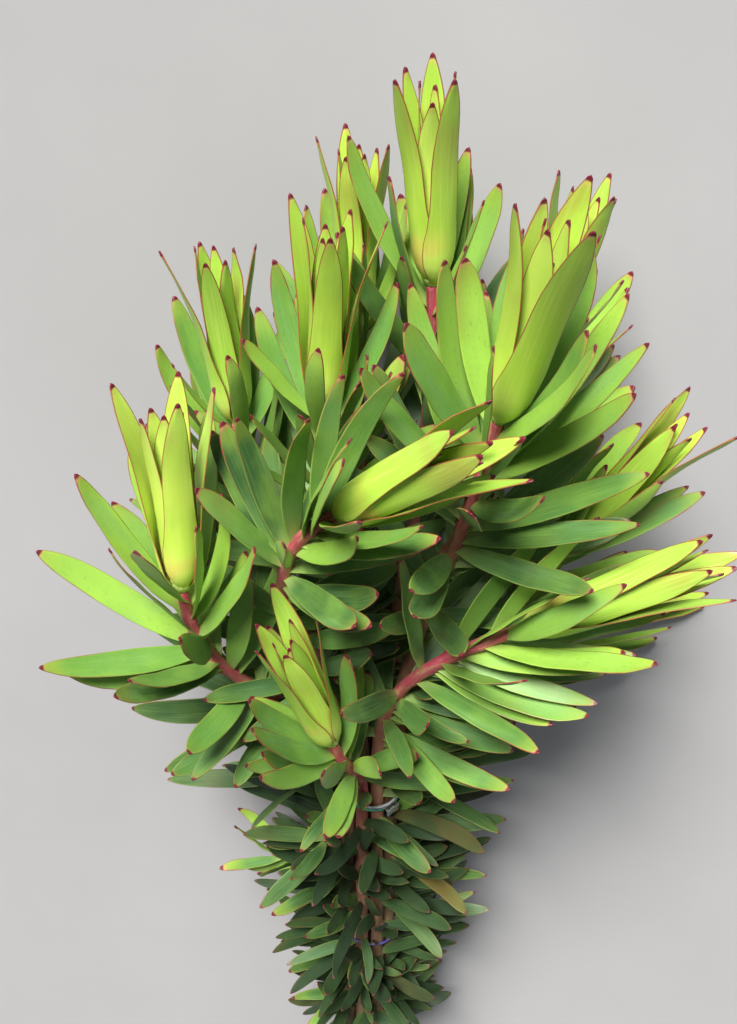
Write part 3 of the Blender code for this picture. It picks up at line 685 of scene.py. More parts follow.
class Bract(Blade):
    """A blade of the flower head: it swells out round the cone and then stands up along it."""

    outline = BRACT_OUTLINE
    fine_outline = FINE_BRACT_OUTLINE
    columns = BRACT_COLUMNS
    cup = BRACT_CUP
    stations = BRACT_STATIONS

    def __init__(self, root, axis, out, length, half_width, belly, tip_out, roll):
        super().__init__(root, axis, out, length, half_width, 0, 0, roll, 0)
        self.belly, self.tip_out = belly, tip_out
        self.youth = 1.0

    def radius(self, t):
        """How far the bract stands from the head's axis at t."""
        bump = t / BELLY_PLACE * math.exp(1 - t / BELLY_PLACE)
        return BRACT_RING + self.belly * bump + self.tip_out * t**TIP_OUT_POWER

    def spine(self, t):
        """Centre, side, upper normal at t. The roll sets in above the belly."""
        low, high = max(0.0, t - 0.01), min(1.0, t + 0.01)
        slope = math.atan2(self.radius(high) - self.radius(low), self.length * (high - low))
        side = np.cross(self.out, self.axis)
        centre = self.root + self.length * t * self.axis + self.radius(t) * self.out
        normal = math.sin(slope) * self.axis - math.cos(slope) * self.out
        return centre, *rolled(side, normal, self.roll * sets_in(t, BRACT_ROLL_FROM))

    def section(self, t, thickness, extra):
        """As a leaf's, with the midrib's top as a fourth point, so that the bract is a thin gutter."""
        left, right, keel = super().section(t, thickness, extra)
        centre, side, normal = self.spine(t)
        top = centre + normal * thickness / 2
        top[2] = max(top[2], thickness)
        return [left, top, right, keel]

    def curve(self, t):
        """The base wraps round the cone, and the upper part is almost flat."""
        flat = sets_in(t, BRACT_FLAT_FROM)
        return (1 - flat) / self.radius(t) + flat / FLAT_CURVE


def tree_of(mesh):
    points, faces = mesh
    return BVHTree.FromPolygons([Vector(p) for p in points], faces)


class Shoot:
    """A short side shoot: a bare twig, with its leaves on the outer part."""

    def __init__(self, stem, below, turn, angle, length):
        self.start, axis = stem.at(stem.tie - below)
        self.length, angle = length, math.radians(angle)
        out = stem.way_out(axis, math.radians(turn))
        self.direction = unit(math.cos(angle) * axis + math.sin(angle) * out)

    def mesh(self):
        """The bare twig, from the middle of its stem."""
        end = self.start + self.direction * self.length
        return tube([ring_points(p, self.direction, SHOOT_RADIUS, SHOOT_SIDES) for p in (self.start, end)])

    def leaf(self, share, turn, length, chance, attempt):
        """A leaf at a share of the shoot's length. Later attempts turn it further and shorten it."""
        axis, vary = self.direction, drawn(SHOOT_LEAF, chance)
        out = round_axis(axis, turn + math.radians(vary.turn * (1 + attempt)))
        spread, bend = math.radians(between(SHOOT_LEAF_SPREAD, share) + vary.spread), math.radians(vary.bend)
        length = length * vary.length * (1 - SHORTER * attempt)
        half_width = min(LEAF_HALF_WIDTH, SHOOT_LEAF_SHAPE * length) * vary.width
        roll, sickle = math.radians(vary.roll), vary.sickle
        root = self.start + axis * self.length * between(SHOOT_LEAF_PLACES, share)
        root = root + out * SUNK_ROOT * SHOOT_RADIUS
        youth = LONG_SHOOT_YOUTH if self.length > FRESH_SHOOT else SHORT_SHOOT_YOUTH
        return lit_leaf(root, axis, out, spread, bend, length, half_width, roll, sickle, youth)


class Crowd:
    """The blades and stems that are placed so far, against which a new blade is tried."""

    def __init__(self):
        self.members = []

    def add(self, mesh, stem, is_tube=False):
        points = np.array(mesh[0])
        self.members.append((points.min(0), points.max(0), tree_of(mesh), stem, is_tube))

    def hits(self, mesh, own_tube=None):
        points = np.array(mesh[0])
        low, high = points.min(0), points.max(0)
        tree = None
        for other_low, other_high, other, stem, is_tube in self.members:
            if is_tube and stem == own_tube:
                continue
            if (low > other_high).any() or (high < other_low).any():
                continue
            tree = tree or tree_of(mesh)
            if tree.overlap(other):
                return True
        return False


def head_bracts(stem, chance):
    """The bracts of one head, from the outermost to the innermost, in one spiral."""
    axis, size, made = laid_direction(stem.aim), stem.size, []
    for inner, out in spiral(axis, BRACTS, chance):
        vary = drawn(BRACT, chance)
        root = stem.points[-1] + axis * between(BRACT_RISE, inner)
        length = size * BRACT_LENGTH * between(BRACT_LENGTHS, inner) * vary.length
        half_width = size * BRACT_HALF_WIDTH * between(BRACT_WIDTHS, inner) * vary.width
        belly = size * between(BRACT_BELLY, inner)
        tip_out = size * between(BRACT_TIP_OUT, inner) * vary.tip_out
        made.append(Bract(root, axis, out, length, half_width, belly, tip_out, math.radians(vary.roll)))
    return made


def lit_leaf(root, axis, out, spread, bend, length, half_width, roll, sickle, youth):
    """A leaf whose roll is counted from where it turns a share of its face to the light, which
    comes from above the heads."""
    light, slope = laid_direction(LIGHT), spread + bend / 2
    across = np.cross(out, axis) @ light
    facing = (math.sin(slope) * axis - math.cos(slope) * out) @ light
    roll += LIGHT_SHARE * max(-LIGHT_TURN, min(LIGHT_TURN, math.atan2(-across, facing)))
    leaf = Blade(root, axis, out, length, half_width, spread, bend, roll, sickle)
    leaf.youth = youth
    return leaf


def leaf_plan(stem, chance):
    """Where the leaves of one stem start: distance from the cut end, turn, and share of the way down."""
    below_head = FIRST_LEAF
    turn = chance.uniform(0, math.tau)
    made = []
    while stem.length - below_head > stem.tie + BARE_ABOVE_TIE:
        share = below_head / (stem.length - stem.tie)
        made.append((stem.length - below_head, turn, share))
        below_head += between(LEAF_STEP, rising(below_head / STEP_REACH)) * chance.uniform(*STEP_UNEVEN)
        turn += GOLDEN_ANGLE
    return made


def crown_leaf(stem, plan, chance, attempt):
    """A leaf above the tie. Later attempts turn it, raise it and shorten it to find a clear place."""
    (distance, turn, share), kind = plan, CROWN_LEAF
    nudge = 0.0 if attempt == 0 else chance.uniform(-1, 1)
    out = round_axis(stem.at(distance)[1], turn + nudge * CROWN_NUDGE)
    below = stem.length - distance
    away = rising((below - HUG_REACH) / (OPEN_REACH - HUG_REACH))
    spread = math.radians(between(LEAF_SPREAD, away) + chance.uniform(*kind.spread))
    spread += math.radians(chance.uniform(*kind.raised)) if attempt else 0
    bend = math.radians(between(LEAF_BEND, away) + chance.uniform(*kind.bend))
    length = stem.size * LEAF_LENGTH * between(LEAF_LENGTHS, rising(share)) * chance.uniform(*kind.length)
    length *= 1 - SHORTER * attempt
    half_width = stem.size * LEAF_HALF_WIDTH * chance.uniform(*kind.width)
    roll, sickle = math.radians(chance.uniform(*kind.roll)), chance.uniform(*kind.sickle)
    youth = 1 - rising(below / YOUNG_REACH)
    return stem.leaf(distance, out, spread, bend, length, half_width, roll, sickle, youth)


def lower_leaf(stem, distance, chance, attempt):
    """A shorter leaf below the tie. Only the outer stems of the bundle keep them, facing out."""
    vary, share = drawn(LOWER_LEAF, chance), (stem.tie - distance) / LOWER_REACH
    out = stem.way_out(stem.at(distance)[1], math.radians(vary.turn))
    length = between(LOWER_LENGTH, share) * vary.length * (1 - LOWER_SHORTER * attempt)
    half_width = between(LOWER_HALF_WIDTH, share) * vary.width
    spread, bend, roll = map(math.radians, (vary.spread, vary.bend, vary.roll))
    return stem.leaf(distance, out, spread, bend, length, half_width, roll, vary.sickle, SHADED_YOUTH)


def settle(crowd, stem, make, attempts, clearance=CLEARANCE, room=None):
    """Keeps the first try of a leaf that clears everything placed so far and stays in the room."""
    for attempt in range(attempts):
        blade = make(attempt)
        mesh = blade.mesh(clearance)
        points = np.array(mesh[0])
        inside = room is None or ((points >= room[0]).all() and (points <= room[1]).all())
        if inside and blade.lies_well() and not crowd.hits(mesh, own_tube=stem.number):
            crowd.add(blade.mesh(), stem.number)
            stem.leaves.append(blade)
            return


def grow_shoot(crowd, stem, shape, chance):
    """One side shoot and its leaves, as far as they find a clear place."""
    below, turn, angle, length, leaf_length, count = shape
    shoot = Shoot(stem, below, turn, angle, length)
    crowd.add(shoot.mesh(), stem.number, is_tube=True)
    stem.leaves.append(shoot)
    start = chance.uniform(0, math.tau)
    for i in range(count):
        share, around = i / (count - 1), start + i * GOLDEN_ANGLE
        settle(crowd, stem, lambda n: shoot.leaf(share, around, leaf_length, chance, n), SHOOT_TRIES)


def plan_bunch():
    """The stems, and for each its bracts and its leaves, placed clear of each other."""
    stems = [Stem(i, head, random.Random(SEED + i)) for i, head in enumerate(HEADS)]
    crowd = Crowd()
    for stem in stems:
        crowd.add(stem_tube(stem), stem.number, is_tube=True)
    for tie in (tie_band_mesh(), clip_mesh(), view_of_tie(), rubber_band_mesh()):
        crowd.add(tie, None)
    for stem in stems:
        stem.bracts = head_bracts(stem, random.Random(100 * SEED + stem.number))
        stem.leaves = []
        crowd.add(core_mesh(stem), None)
        for bract in stem.bracts:
            crowd.add(bract.mesh(), stem.number)
    chance = random.Random(SEED)
    for name, *shape in SHOOTS:
        grow_shoot(crowd, next(stem for stem in stems if stem.name == name), shape, chance)
    plans = [leaf_plan(stem, chance) for stem in stems]
    for turn in range(max(len(plan) for plan in plans)):
        for stem, plan in zip(stems, plans):
            if turn < len(plan):
                settle(crowd, stem, lambda n: crown_leaf(stem, plan[turn], chance, n), CROWN_TRIES)
    for stem in stems:
        distance = stem.tie - chance.uniform(*LOWER_START) * MM
        while stem.outer and distance > stem.tie - LOWER_REACH:
            settle(crowd, stem, lambda n: lower_leaf(stem, distance, chance, n), LOWER_TRIES)
            distance -= chance.uniform(*LOWER_STEP) * MM
    return stems, crowd


def more_leaves(stems, crowd, shift):
    """More leaves between those of the solids, wherever one still finds room inside their box."""
    chance = random.Random(3000 * SEED)
    low, high = (np.array(corner) - shift for corner in cad_bounds)
    room = low + np.array((1, 1, -1)) * MORE_MARGIN, high - MORE_MARGIN
    rules = MORE_TRIES, MORE_CLEARANCE, room
    for stem in stems:
        distance = stem.length - SIDE_START
        while stem.name in OPEN_STEMS and distance > stem.tie + SIDE_END:
            settle(crowd, stem, lambda n: side_leaf(stem, distance, chance), *rules)
            distance -= SIDE_STEP * chance.uniform(*MORE_UNEVEN)
    plans = [more_places(stem, chance) for stem in stems]
    for turn in range(max(len(plan) for plan in plans)):
        for stem, plan in zip(stems, plans):
            if turn < len(plan) and stem.name not in OPEN_STEMS:
                settle(crowd, stem, lambda n: crown_leaf(stem, plan[turn], chance, n), *rules)
    for stem in stems:
        distance = stem.tie - MORE_LOWER_START
        while distance > stem.tie - LOWER_REACH:
            settle(crowd, stem, lambda n: stray_leaf(stem, distance, chance), *rules)
            distance -= MORE_LOWER_STEP * chance.uniform(*MORE_LOWER_UNEVEN)


def more_places(stem, chance):
    """Where more leaves of one stem are tried: distance from the cut end, turn, share of the way down."""
    distance, places = stem.length - MORE_START, []
    while distance > stem.tie + MORE_END:
        share = (stem.length - distance) / (stem.length - stem.tie)
        places.append((distance, chance.uniform(0, math.tau), share))
        distance -= MORE_STEP * chance.uniform(*MORE_UNEVEN)
    return places


def side_leaf(stem, distance, chance):
    """A long leaf on the one side of a stem whose other sides stay open to view."""
    vary, axis = drawn(SIDE_LEAF, chance), stem.at(distance)[1]
    towards = laid_direction(OPEN_SIDE) + np.array((vary.x, vary.y, vary.z))
    out = unit(np.cross(np.cross(axis, towards), axis))
    length, half_width = LEAF_LENGTH * vary.length, LEAF_HALF_WIDTH * vary.width
    spread, bend, roll = map(math.radians, (vary.spread, vary.bend, vary.roll))
    return stem.leaf(distance, out, spread, bend, length, half_width, roll, vary.sickle, vary.youth)


def stray_leaf(stem, distance, chance):
    """A small leaf below the tie that may point any way, on any stem."""
    widest = chance.choice(STRAY_TURNS)
    vary, share = drawn(STRAY_LEAF, chance), (stem.tie - distance) / LOWER_REACH
    out = stem.way_out(stem.at(distance)[1], math.radians(widest * vary.turn))
    length = between(STRAY_LENGTH, share) * vary.length
    half_width = min(STRAY_SHAPE * length, STRAY_HALF_WIDTH) * vary.width
    spread, bend, roll = map(math.radians, (vary.spread, vary.bend, vary.roll))
    youth = SHADED_YOUTH + STRAY_YOUTH * vary.youth**STRAY_RARITY
    return stem.leaf(distance, out, spread, bend, length, half_width, roll, vary.sickle, youth)


def core_mesh(stem):
    """The cone at the heart of a head: a turned solid that stands on the stem's end."""
    axis = laid_direction(stem.aim)
    base = stem.points[-1] + axis * JOINT_GAP
    rings = []
    for share, radius in CORE_PROFILE:
        centre = base + axis * CORE_LENGTH * stem.size * share
        rings.append(ring_points(centre, axis, CORE_RADIUS * stem.size * radius, CORE_SIDES))
    return tube(rings)


def tie_mesh(y, half_thickness, half_width, segments=20):
    """A band that lies a little aslant round the bundle at y, with an oblong section."""
    inner = (bundle_spread(y) * OUTER_RING + STEM_RADIUS + JOINT_GAP) / math.cos(math.pi / segments)
    points = []
    for i in range(segments):
        turn = math.tau * i / segments
        for out, along in ((0, 1), (2, 1), (2, -1), (0, -1)):
            radius = inner + out * half_thickness
            x, z = radius * math.cos(turn), radius * math.sin(turn)
            points.append(laid((x, y + along * half_width - TIE_SLANT * x, z)))
    return points, flipped(walls(segments, 4, closed=True))


def tie_band_mesh():
    """The upper tie, a narrow flat band."""
    return tie_mesh(TIE_PLACE, TIE_THICKNESS / 2, TIE_WIDTH / 2)


def rubber_band_mesh():
    """The lower tie, a thin square band."""
    return tie_mesh(BAND_PLACE, BAND_THICKNESS / 2, BAND_THICKNESS / 2)


def square_to_bundle(turn):
    """The way out from the bundle's axis at a turn, the way round it and the way along it."""
    cos, sin = math.cos(turn), math.sin(turn)
    return np.array((cos, 0, sin)), np.array((-sin, 0, cos)), np.array((0, 1, 0))


def block_rings(turn, y, near, steps, lean=0.0):
    """A block that stands out from the bundle's axis: depth, length across and width at each step."""
    (out, across, along), rings = square_to_bundle(turn), []
    for depth, long, wide in steps:
        centre = out * (near + depth) + along * (y + lean * depth)
        centre[1] -= TIE_SLANT * near * out[0]
        corners = ((-1, 1), (1, 1), (1, -1), (-1, -1))
        rings.append([laid(centre + across * a * long / 2 + along * b * wide / 2) for a, b in corners])
    return rings


def clip_mesh():
    """The folded metal clip that closes the upper tie, on the outside of the band."""
    (long, wide, deep), (narrows, face_long, face_wide) = CLIP_SIZE, CLIP_FACE
    face = (deep, face_long * long, face_wide * wide)
    steps = ((0, long, wide), (narrows * deep, long, wide), face)
    return tube(block_rings(CLIP_TURN, TIE_PLACE, CLIP_FOOT, steps))


def view_of_tie():
    """The space in front of the clip and the upper tie, which the leaves leave free."""
    near = OUTER_RING + STEM_RADIUS + TIE_THICKNESS + 2 * JOINT_GAP
    steps = ((0, VIEW_LENGTHS[0], VIEW_WIDTH), (VIEW_DEPTH, VIEW_LENGTHS[1], VIEW_WIDTH))
    return tube(block_rings(VIEW_TURN, TIE_PLACE, near, steps, VIEW_LEAN))


def placed(name, data):
    """A mesh, camera or lamp, put into the scene."""
    made = bpy.data.objects.new(name, data)
    bpy.context.scene.collection.objects.link(made)
    return made


class Skin:
    """The points, faces and finish numbers of one piece, gathered part by part."""

    kinds = ("along", "from_tip", "from_edge", "tint", "youth", "bald")

    def __init__(self):
        self.points, self.faces, self.slots, self.grain = [], [], [], []
        self.numbers = {name: [] for name in self.kinds}

    def add(self, points, faces, slot, grain, **numbers):
        """Adds a part. grain is each point's place on the part, in millimetres, for its pattern."""
        start = sum(len(p) for p in self.points)
        points = np.asarray(points, float)
        self.points.append(points)
        self.faces += [tuple(start + i for i in face) for face in faces]
        self.slots += [slot] * len(faces)
        self.grain.append(np.asarray(grain, float))
        for name in self.kinds:
            value = np.asarray(numbers.get(name, 0.0), float)
            self.numbers[name].append(np.broadcast_to(value, (len(points),)))

    def piece(self, name, finishes, shift):
        data = bpy.data.meshes.new(name)
        places = np.concatenate(self.points) + shift
        data.from_pydata(places.tolist(), [], self.faces)
        for finish in finishes:
            data.materials.append(finish)
        data.polygons.foreach_set("material_index", self.slots)
        for key, parts in self.numbers.items():
            data.attributes.new(key, "FLOAT", "POINT").data.foreach_set("value", np.concatenate(parts))
        grain = np.concatenate(self.grain).ravel()
        data.attributes.new("grain", "FLOAT_VECTOR", "POINT").data.foreach_set("vector", grain)
        data.shade_smooth()
        data.update()
        return placed(name, data)


def fine_blade(blade, chance):
    """The real form of a blade: rounded tip with its hard point, cupped face, thin wavy margins."""
    length, columns, is_bract = blade.length, np.array(blade.columns, float), isinstance(blade, Bract)
    vary = drawn(FINE_BLADE, chance)
    wave, hook, ripple = vary.wave * MM * length / LEAF_LENGTH, vary.hook * MM, vary.ripple * MM
    twist, skew = math.radians(vary.twist), vary.skew * blade.half_width
    slim, taper = 1.0, 0.0
    if not is_bract:
        leaf = drawn(FINE_LEAF, chance)
        slim, taper = LEAF_SLIM * min(1.0, max(SLIMMEST, length / LEAF_LENGTH)) * leaf.slim, leaf.taper
    offset = chance.uniform(0, 500)
    points, widths = [], []
    for t in FINE_STATIONS:
        centre, side, normal = blade.spine(t)
        side, normal = rolled(side, normal, twist * (t - TWIST_CENTRE) * min(1.0, TWIST_RISE * t))
        centre = centre + normal * (wave * math.sin(WAVES * t + vary.phase) * sets_in(t, FROM.wave) * t)
        centre = centre + normal * hook * sets_in(t, FROM.hook) + side * skew * sets_in(t, FROM.skew)
        width = blade.half_width * slim * max(0.0, eased(blade.fine_outline, t))
        width *= 1 - taper * sets_in(t, FROM.taper)
        curve = blade.curve(t)
        turn = np.clip(curve * width * columns, -MOST_CUPPED, MOST_CUPPED)
        waviness = np.sin(RIPPLES * t + vary.ripple_phase + RIPPLE_SLANT * columns) * sets_in(t, FROM.ripple)
        lift = (1 - np.cos(turn)) / curve + ripple * columns**2 * waviness
        nib = sets_in(t, FROM.nib)
        middle = MIDDLE_THICKNESS * (1 - THIN_TIP * sets_in(t, FROM.thin)) * (1 + NIB_SWELL * nib)
        middle *= THIN_BULB if is_bract and t < BULB_END else 1.0
        thick = middle - (middle - EDGE_THICKNESS * (1 + nib)) * columns**2
        thick = thick * (1.0 if t < LAST_RING else LAST_THIN)
        mean = centre + np.outer(np.sin(turn) / curve, side) + np.outer(lift, normal)
        facing = np.outer(np.cos(turn), normal) - np.outer(np.sin(turn), side)
        mean[:, 2] = np.maximum(mean[:, 2], thick / 2 + ABOVE_SURFACE)
        half = facing * (thick / 2)[:, None]
        ring = np.concatenate((mean + half, (mean - half)[::-1]))
        ring[:, 2] = np.maximum(ring[:, 2], ABOVE_SURFACE)
        points.append(ring)
        widths.append(width)
    tip, side, normal = blade.spine(1.0)
    tip = tip + normal * (wave * math.sin(WAVES + vary.phase) + hook) + side * skew * sets_in(1.0, FROM.skew)
    tip[2] = max(tip[2], MIDDLE_THICKNESS / 2)
    both = np.concatenate((columns, columns[::-1]))
    along = np.append(np.repeat(FINE_STATIONS, len(both)), 1.0)
    from_edge = np.append(np.outer(widths, 1 - np.abs(both)).ravel(), 0.0) / MM
    across = np.append(np.outer(widths, both).ravel(), 0.0) / MM
    grain = np.stack((across, along * length / MM, np.full(len(along), offset)), 1)
    numbers = {"along": along, "from_tip": (1 - along) * length / MM, "from_edge": from_edge}
    return np.concatenate((*points, tip[None])), sleeve(len(FINE_STATIONS), len(both)), grain, numbers


def sleeve(rings, sides):
    """The faces of a closed skin through rings of points, which ends in one point."""
    root = [(j, j + 1, sides - 2 - j, sides - 1 - j)[::-1] for j in range(sides // 2 - 1)]
    return root + walls(rings, sides) + fan((rings - 1) * sides, sides, rings * sides)


def fine_stem(stem, skin, chance):
    """The bark, with a low cushion under each leaf, and the pale cut end."""
    line = stem.lower_points(count=BARK_POINTS) + stem.upper_points(count=BARK_POINTS)
    places = np.array([laid(p) for p in line])
    along = travelled(places)
    count = int(along[-1] / BARK_STEP)
    at = np.linspace(0, along[-1], count)
    centres = np.stack([np.interp(at, along, places[:, k]) for k in range(3)], 1)
    heading = np.gradient(centres, axis=0)
    heading /= np.linalg.norm(heading, axis=1)[:, None]
    first = np.cross(np.cross(heading, (0.0, 0.0, 1.0)), heading)
    first /= np.linalg.norm(first, axis=1)[:, None]
    second = np.cross(heading, first)
    turns = np.arange(BARK_SIDES) * math.tau / BARK_SIDES
    scale = stem.length / along[-1]
    radius = np.array([stem.radius(min(stem.length, d * scale)) for d in at])[:, None] * np.ones(BARK_SIDES)
    own = [leaf for leaf in stem.leaves if hasattr(leaf, "distance")]
    for place, out in [(leaf.distance / scale, leaf.out) for leaf in own] + bare_scars(stem, chance):
        i = min(count - 1, int(round(place / along[-1] * (count - 1))))
        turn = math.atan2(out @ second[i], out @ first[i])
        round_way = np.abs((turns - turn + math.pi) % math.tau - math.pi) * STEM_RADIUS / CUSHION.width
        below = (at - place + CUSHION.below) / CUSHION.length
        radius += CUSHION.height * np.exp(-(below[:, None] ** 2)) * np.exp(-(round_way**2))
    ripple = chance.uniform(0, math.tau)
    radius += UNEVEN_BARK * np.sin(at[:, None] / UNEVEN_LENGTH + 2 * turns + ripple)
    cos, sin = np.cos(turns)[None, :, None], np.sin(turns)[None, :, None]
    rings = centres[:, None] + radius[..., None] * (cos * first[:, None] + sin * second[:, None])
    rings[..., 2] = np.maximum(rings[..., 2], ABOVE_SURFACE)
    points = rings.reshape(-1, 3)
    faces = walls(count, BARK_SIDES) + [tuple(range(len(points) - BARK_SIDES, len(points)))]
    from_head = np.repeat((along[-1] - at) / MM, BARK_SIDES)
    around = np.tile(turns * STEM_RADIUS / MM, count)
    grain = np.stack((around, from_head, np.full(len(points), stem.number * 31.0)), 1)
    above_tie = np.repeat(np.clip(1 + (at - stem.tie / scale) / BARK_AGEING, 0, 1), BARK_SIDES)
    skin.add(points, faces, 0, grain, along=from_head, tint=chance.random(), youth=above_tie)
    cut_end(stem, skin, centres[0], -heading[0], rings[0], chance)


def fine_twig(shoot, skin, stem, steps=16):
    """The bark of a side shoot, a little thicker at its foot and rounded off at its end."""
    rings, from_foot = [], []
    for i in range(steps):
        share = i / (steps - 1)
        radius = SHOOT_RADIUS * (TWIG_FOOT - TWIG_TAPER * share)
        radius *= min(1.0, TWIG_ROUND * (TWIG_END - share)) ** 0.5
        place = shoot.start + shoot.direction * shoot.length * share
        rings.append(ring_points(place, shoot.direction, radius, BARK_SIDES))
        from_foot += [share * shoot.length / MM] * BARK_SIDES
    points, faces = tube(rings)
    around = np.tile(np.arange(BARK_SIDES) * SHOOT_RADIUS / MM * math.tau / BARK_SIDES, steps)
    grain = np.stack((around, np.array(from_foot), np.full(len(points), stem.number * 13.0)), 1)
    skin.add(points, faces, 0, grain, along=TWIG_BELOW_HEAD, tint=0.5)


def cut_end(stem, skin, centre, outward, rim, chance):
    """The cut across the stem: a green rim, pale wood and a soft pith that stands back a little."""
    rings = [centre + (rim - centre) * share + outward * depth * MM for share, depth in CUT_RINGS]
    points = np.concatenate(rings + [(centre - outward * PITH_DEPTH * MM)[None]])
    points[:, 2] = np.maximum(points[:, 2], ABOVE_SURFACE)
    last = (len(rings) - 1) * BARK_SIDES
    faces = flipped(walls(len(rings), BARK_SIDES) + fan(last, BARK_SIDES, len(points) - 1))
    radial = np.append(np.repeat([share for share, _ in CUT_RINGS], BARK_SIDES), 0.0)
    around = np.append(np.tile(np.arange(BARK_SIDES) * 1.0, len(rings)), 0.0)
    grain = np.stack((radial * 3, around, np.full(len(points), stem.number * 7.0)), 1)
    skin.add(points, faces, 2, grain, along=radial, tint=chance.random())


def bare_scars(stem, chance):
    """The scars of stripped leaves between the lowest leaf and the cut end."""
    scars = []
    distance, turn = SCAR_START, chance.uniform(0, math.tau)
    while distance < stem.tie - SCAR_END:
        scars.append((distance, round_axis(stem.at(distance)[1], turn)))
        distance += chance.uniform(*SCAR_STEP) * MM
        turn += GOLDEN_ANGLE
    return scars


def inner_bracts(stem, chance):
    """The small bracts that close the bud inside the outer ones, which no solid needs."""
    axis, size, made = laid_direction(stem.aim), stem.size, []
    for inner, out in spiral(axis, INNER_BRACTS, chance):
        root = stem.points[-1] + axis * between(INNER_RISE, inner) * MM
        length = size * BRACT_LENGTH * between(INNER_LENGTHS, inner) * chance.uniform(*INNER_UNEVEN)
        half_width = size * BRACT_HALF_WIDTH * between(INNER_WIDTHS, inner)
        belly, tip_out = (size * between(pair, inner) * MM for pair in (INNER_BELLY, INNER_TIP_OUT))
        made.append(Bract(root, axis, out, length, half_width, belly, tip_out, 0.0))
    return made


def leafy_piece(stem, finishes, shift):
    """One stem with its bark, side shoots and leaves."""
    chance = random.Random(1000 * SEED + stem.number)
    skin = Skin()
    fine_stem(stem, skin, chance)
    for leaf in stem.leaves:
        if isinstance(leaf, Shoot):
            fine_twig(leaf, skin, stem)
        else:
            add_blade(skin, leaf, chance, 1)
    return skin.piece("leafy_" + stem.name, finishes, shift)


def add_blade(skin, blade, chance, slot):
    points, faces, grain, numbers = fine_blade(blade, chance)
    withered = float(blade.youth < WITHERED_BELOW and chance.random() < WITHERED_SHARE)
    skin.add(points, faces, slot, grain, tint=chance.random(), youth=blade.youth, bald=withered, **numbers)


def head_piece(stem, finishes, shift):
    """One flower head: its outer bracts, the small ones inside them and the cone."""
    chance = random.Random(2000 * SEED + stem.number)
    skin = Skin()
    for i, bract in enumerate(stem.bracts):
        bract.youth = HEAD_GLOW[stem.name] * (0.5 + 0.5 * i / (BRACTS - 1))
    for bract in stem.bracts + inner_bracts(stem, chance):
        add_blade(skin, bract, chance, 0)
    add_cone(stem, skin, 1)
    return skin.piece("head_" + stem.name, finishes, shift)


def add_cone(stem, skin, slot, turns=24, levels=22):
    """The cone at the heart of the head, with low pointed scales in two crossing spirals."""
    axis = laid_direction(stem.aim)
    base = stem.points[-1] + axis * JOINT_GAP
    points, grain = [], []
    for i in range(levels):
        share = i / (levels - 1)
        for j in range(turns):
            turn = math.tau * j / turns
            spirals = (SCALE_SPIRALS * turn + sign * SCALE_STEEPNESS * share for sign in (1, -1))
            scale = math.prod(abs(math.sin(spiral)) for spiral in spirals)
            radius = CORE_RADIUS * stem.size * (eased(FINE_CORE_PROFILE, share) + SCALE_HEIGHT * scale)
            level = base + axis * CORE_LENGTH * stem.size * share
            points.append(level + round_axis(axis, turn) * radius)
            grain.append((3 * turn, SCALE_ROWS * share, stem.number * 5.0))
    points.append(base + axis * CORE_LENGTH * stem.size * CONE_POINT)
    grain.append((0, SCALE_ROWS, 0))
    faces = [tuple(range(turns))[::-1], *walls(levels, turns)]
    faces += fan((levels - 1) * turns, turns, len(points) - 1)
    skin.add(points, faces, slot, grain, along=np.array(grain)[:, 1] / SCALE_ROWS, tint=0.5)


class Value:
    """A socket that takes part in plain arithmetic: each operator adds its Math node."""

    def __init__(self, finish, socket):
        self.finish, self.socket = finish, socket

    def maths(self, operation, *values):
        return self.finish.node("Math", {"operation": operation}, dict(enumerate(values)))

    def __add__(self, other):
        return self.maths("ADD", self, other)

    def __radd__(self, other):
        return self.maths("ADD", other, self)

    def __sub__(self, other):
        return self.maths("SUBTRACT", self, other)

    def __rsub__(self, other):
        return self.maths("SUBTRACT", other, self)

    def __mul__(self, other):
        return self.maths("MULTIPLY", self, other)

    def __rmul__(self, other):
        return self.maths("MULTIPLY", other, self)

    def __truediv__(self, other):
        return self.maths("DIVIDE", self, other)


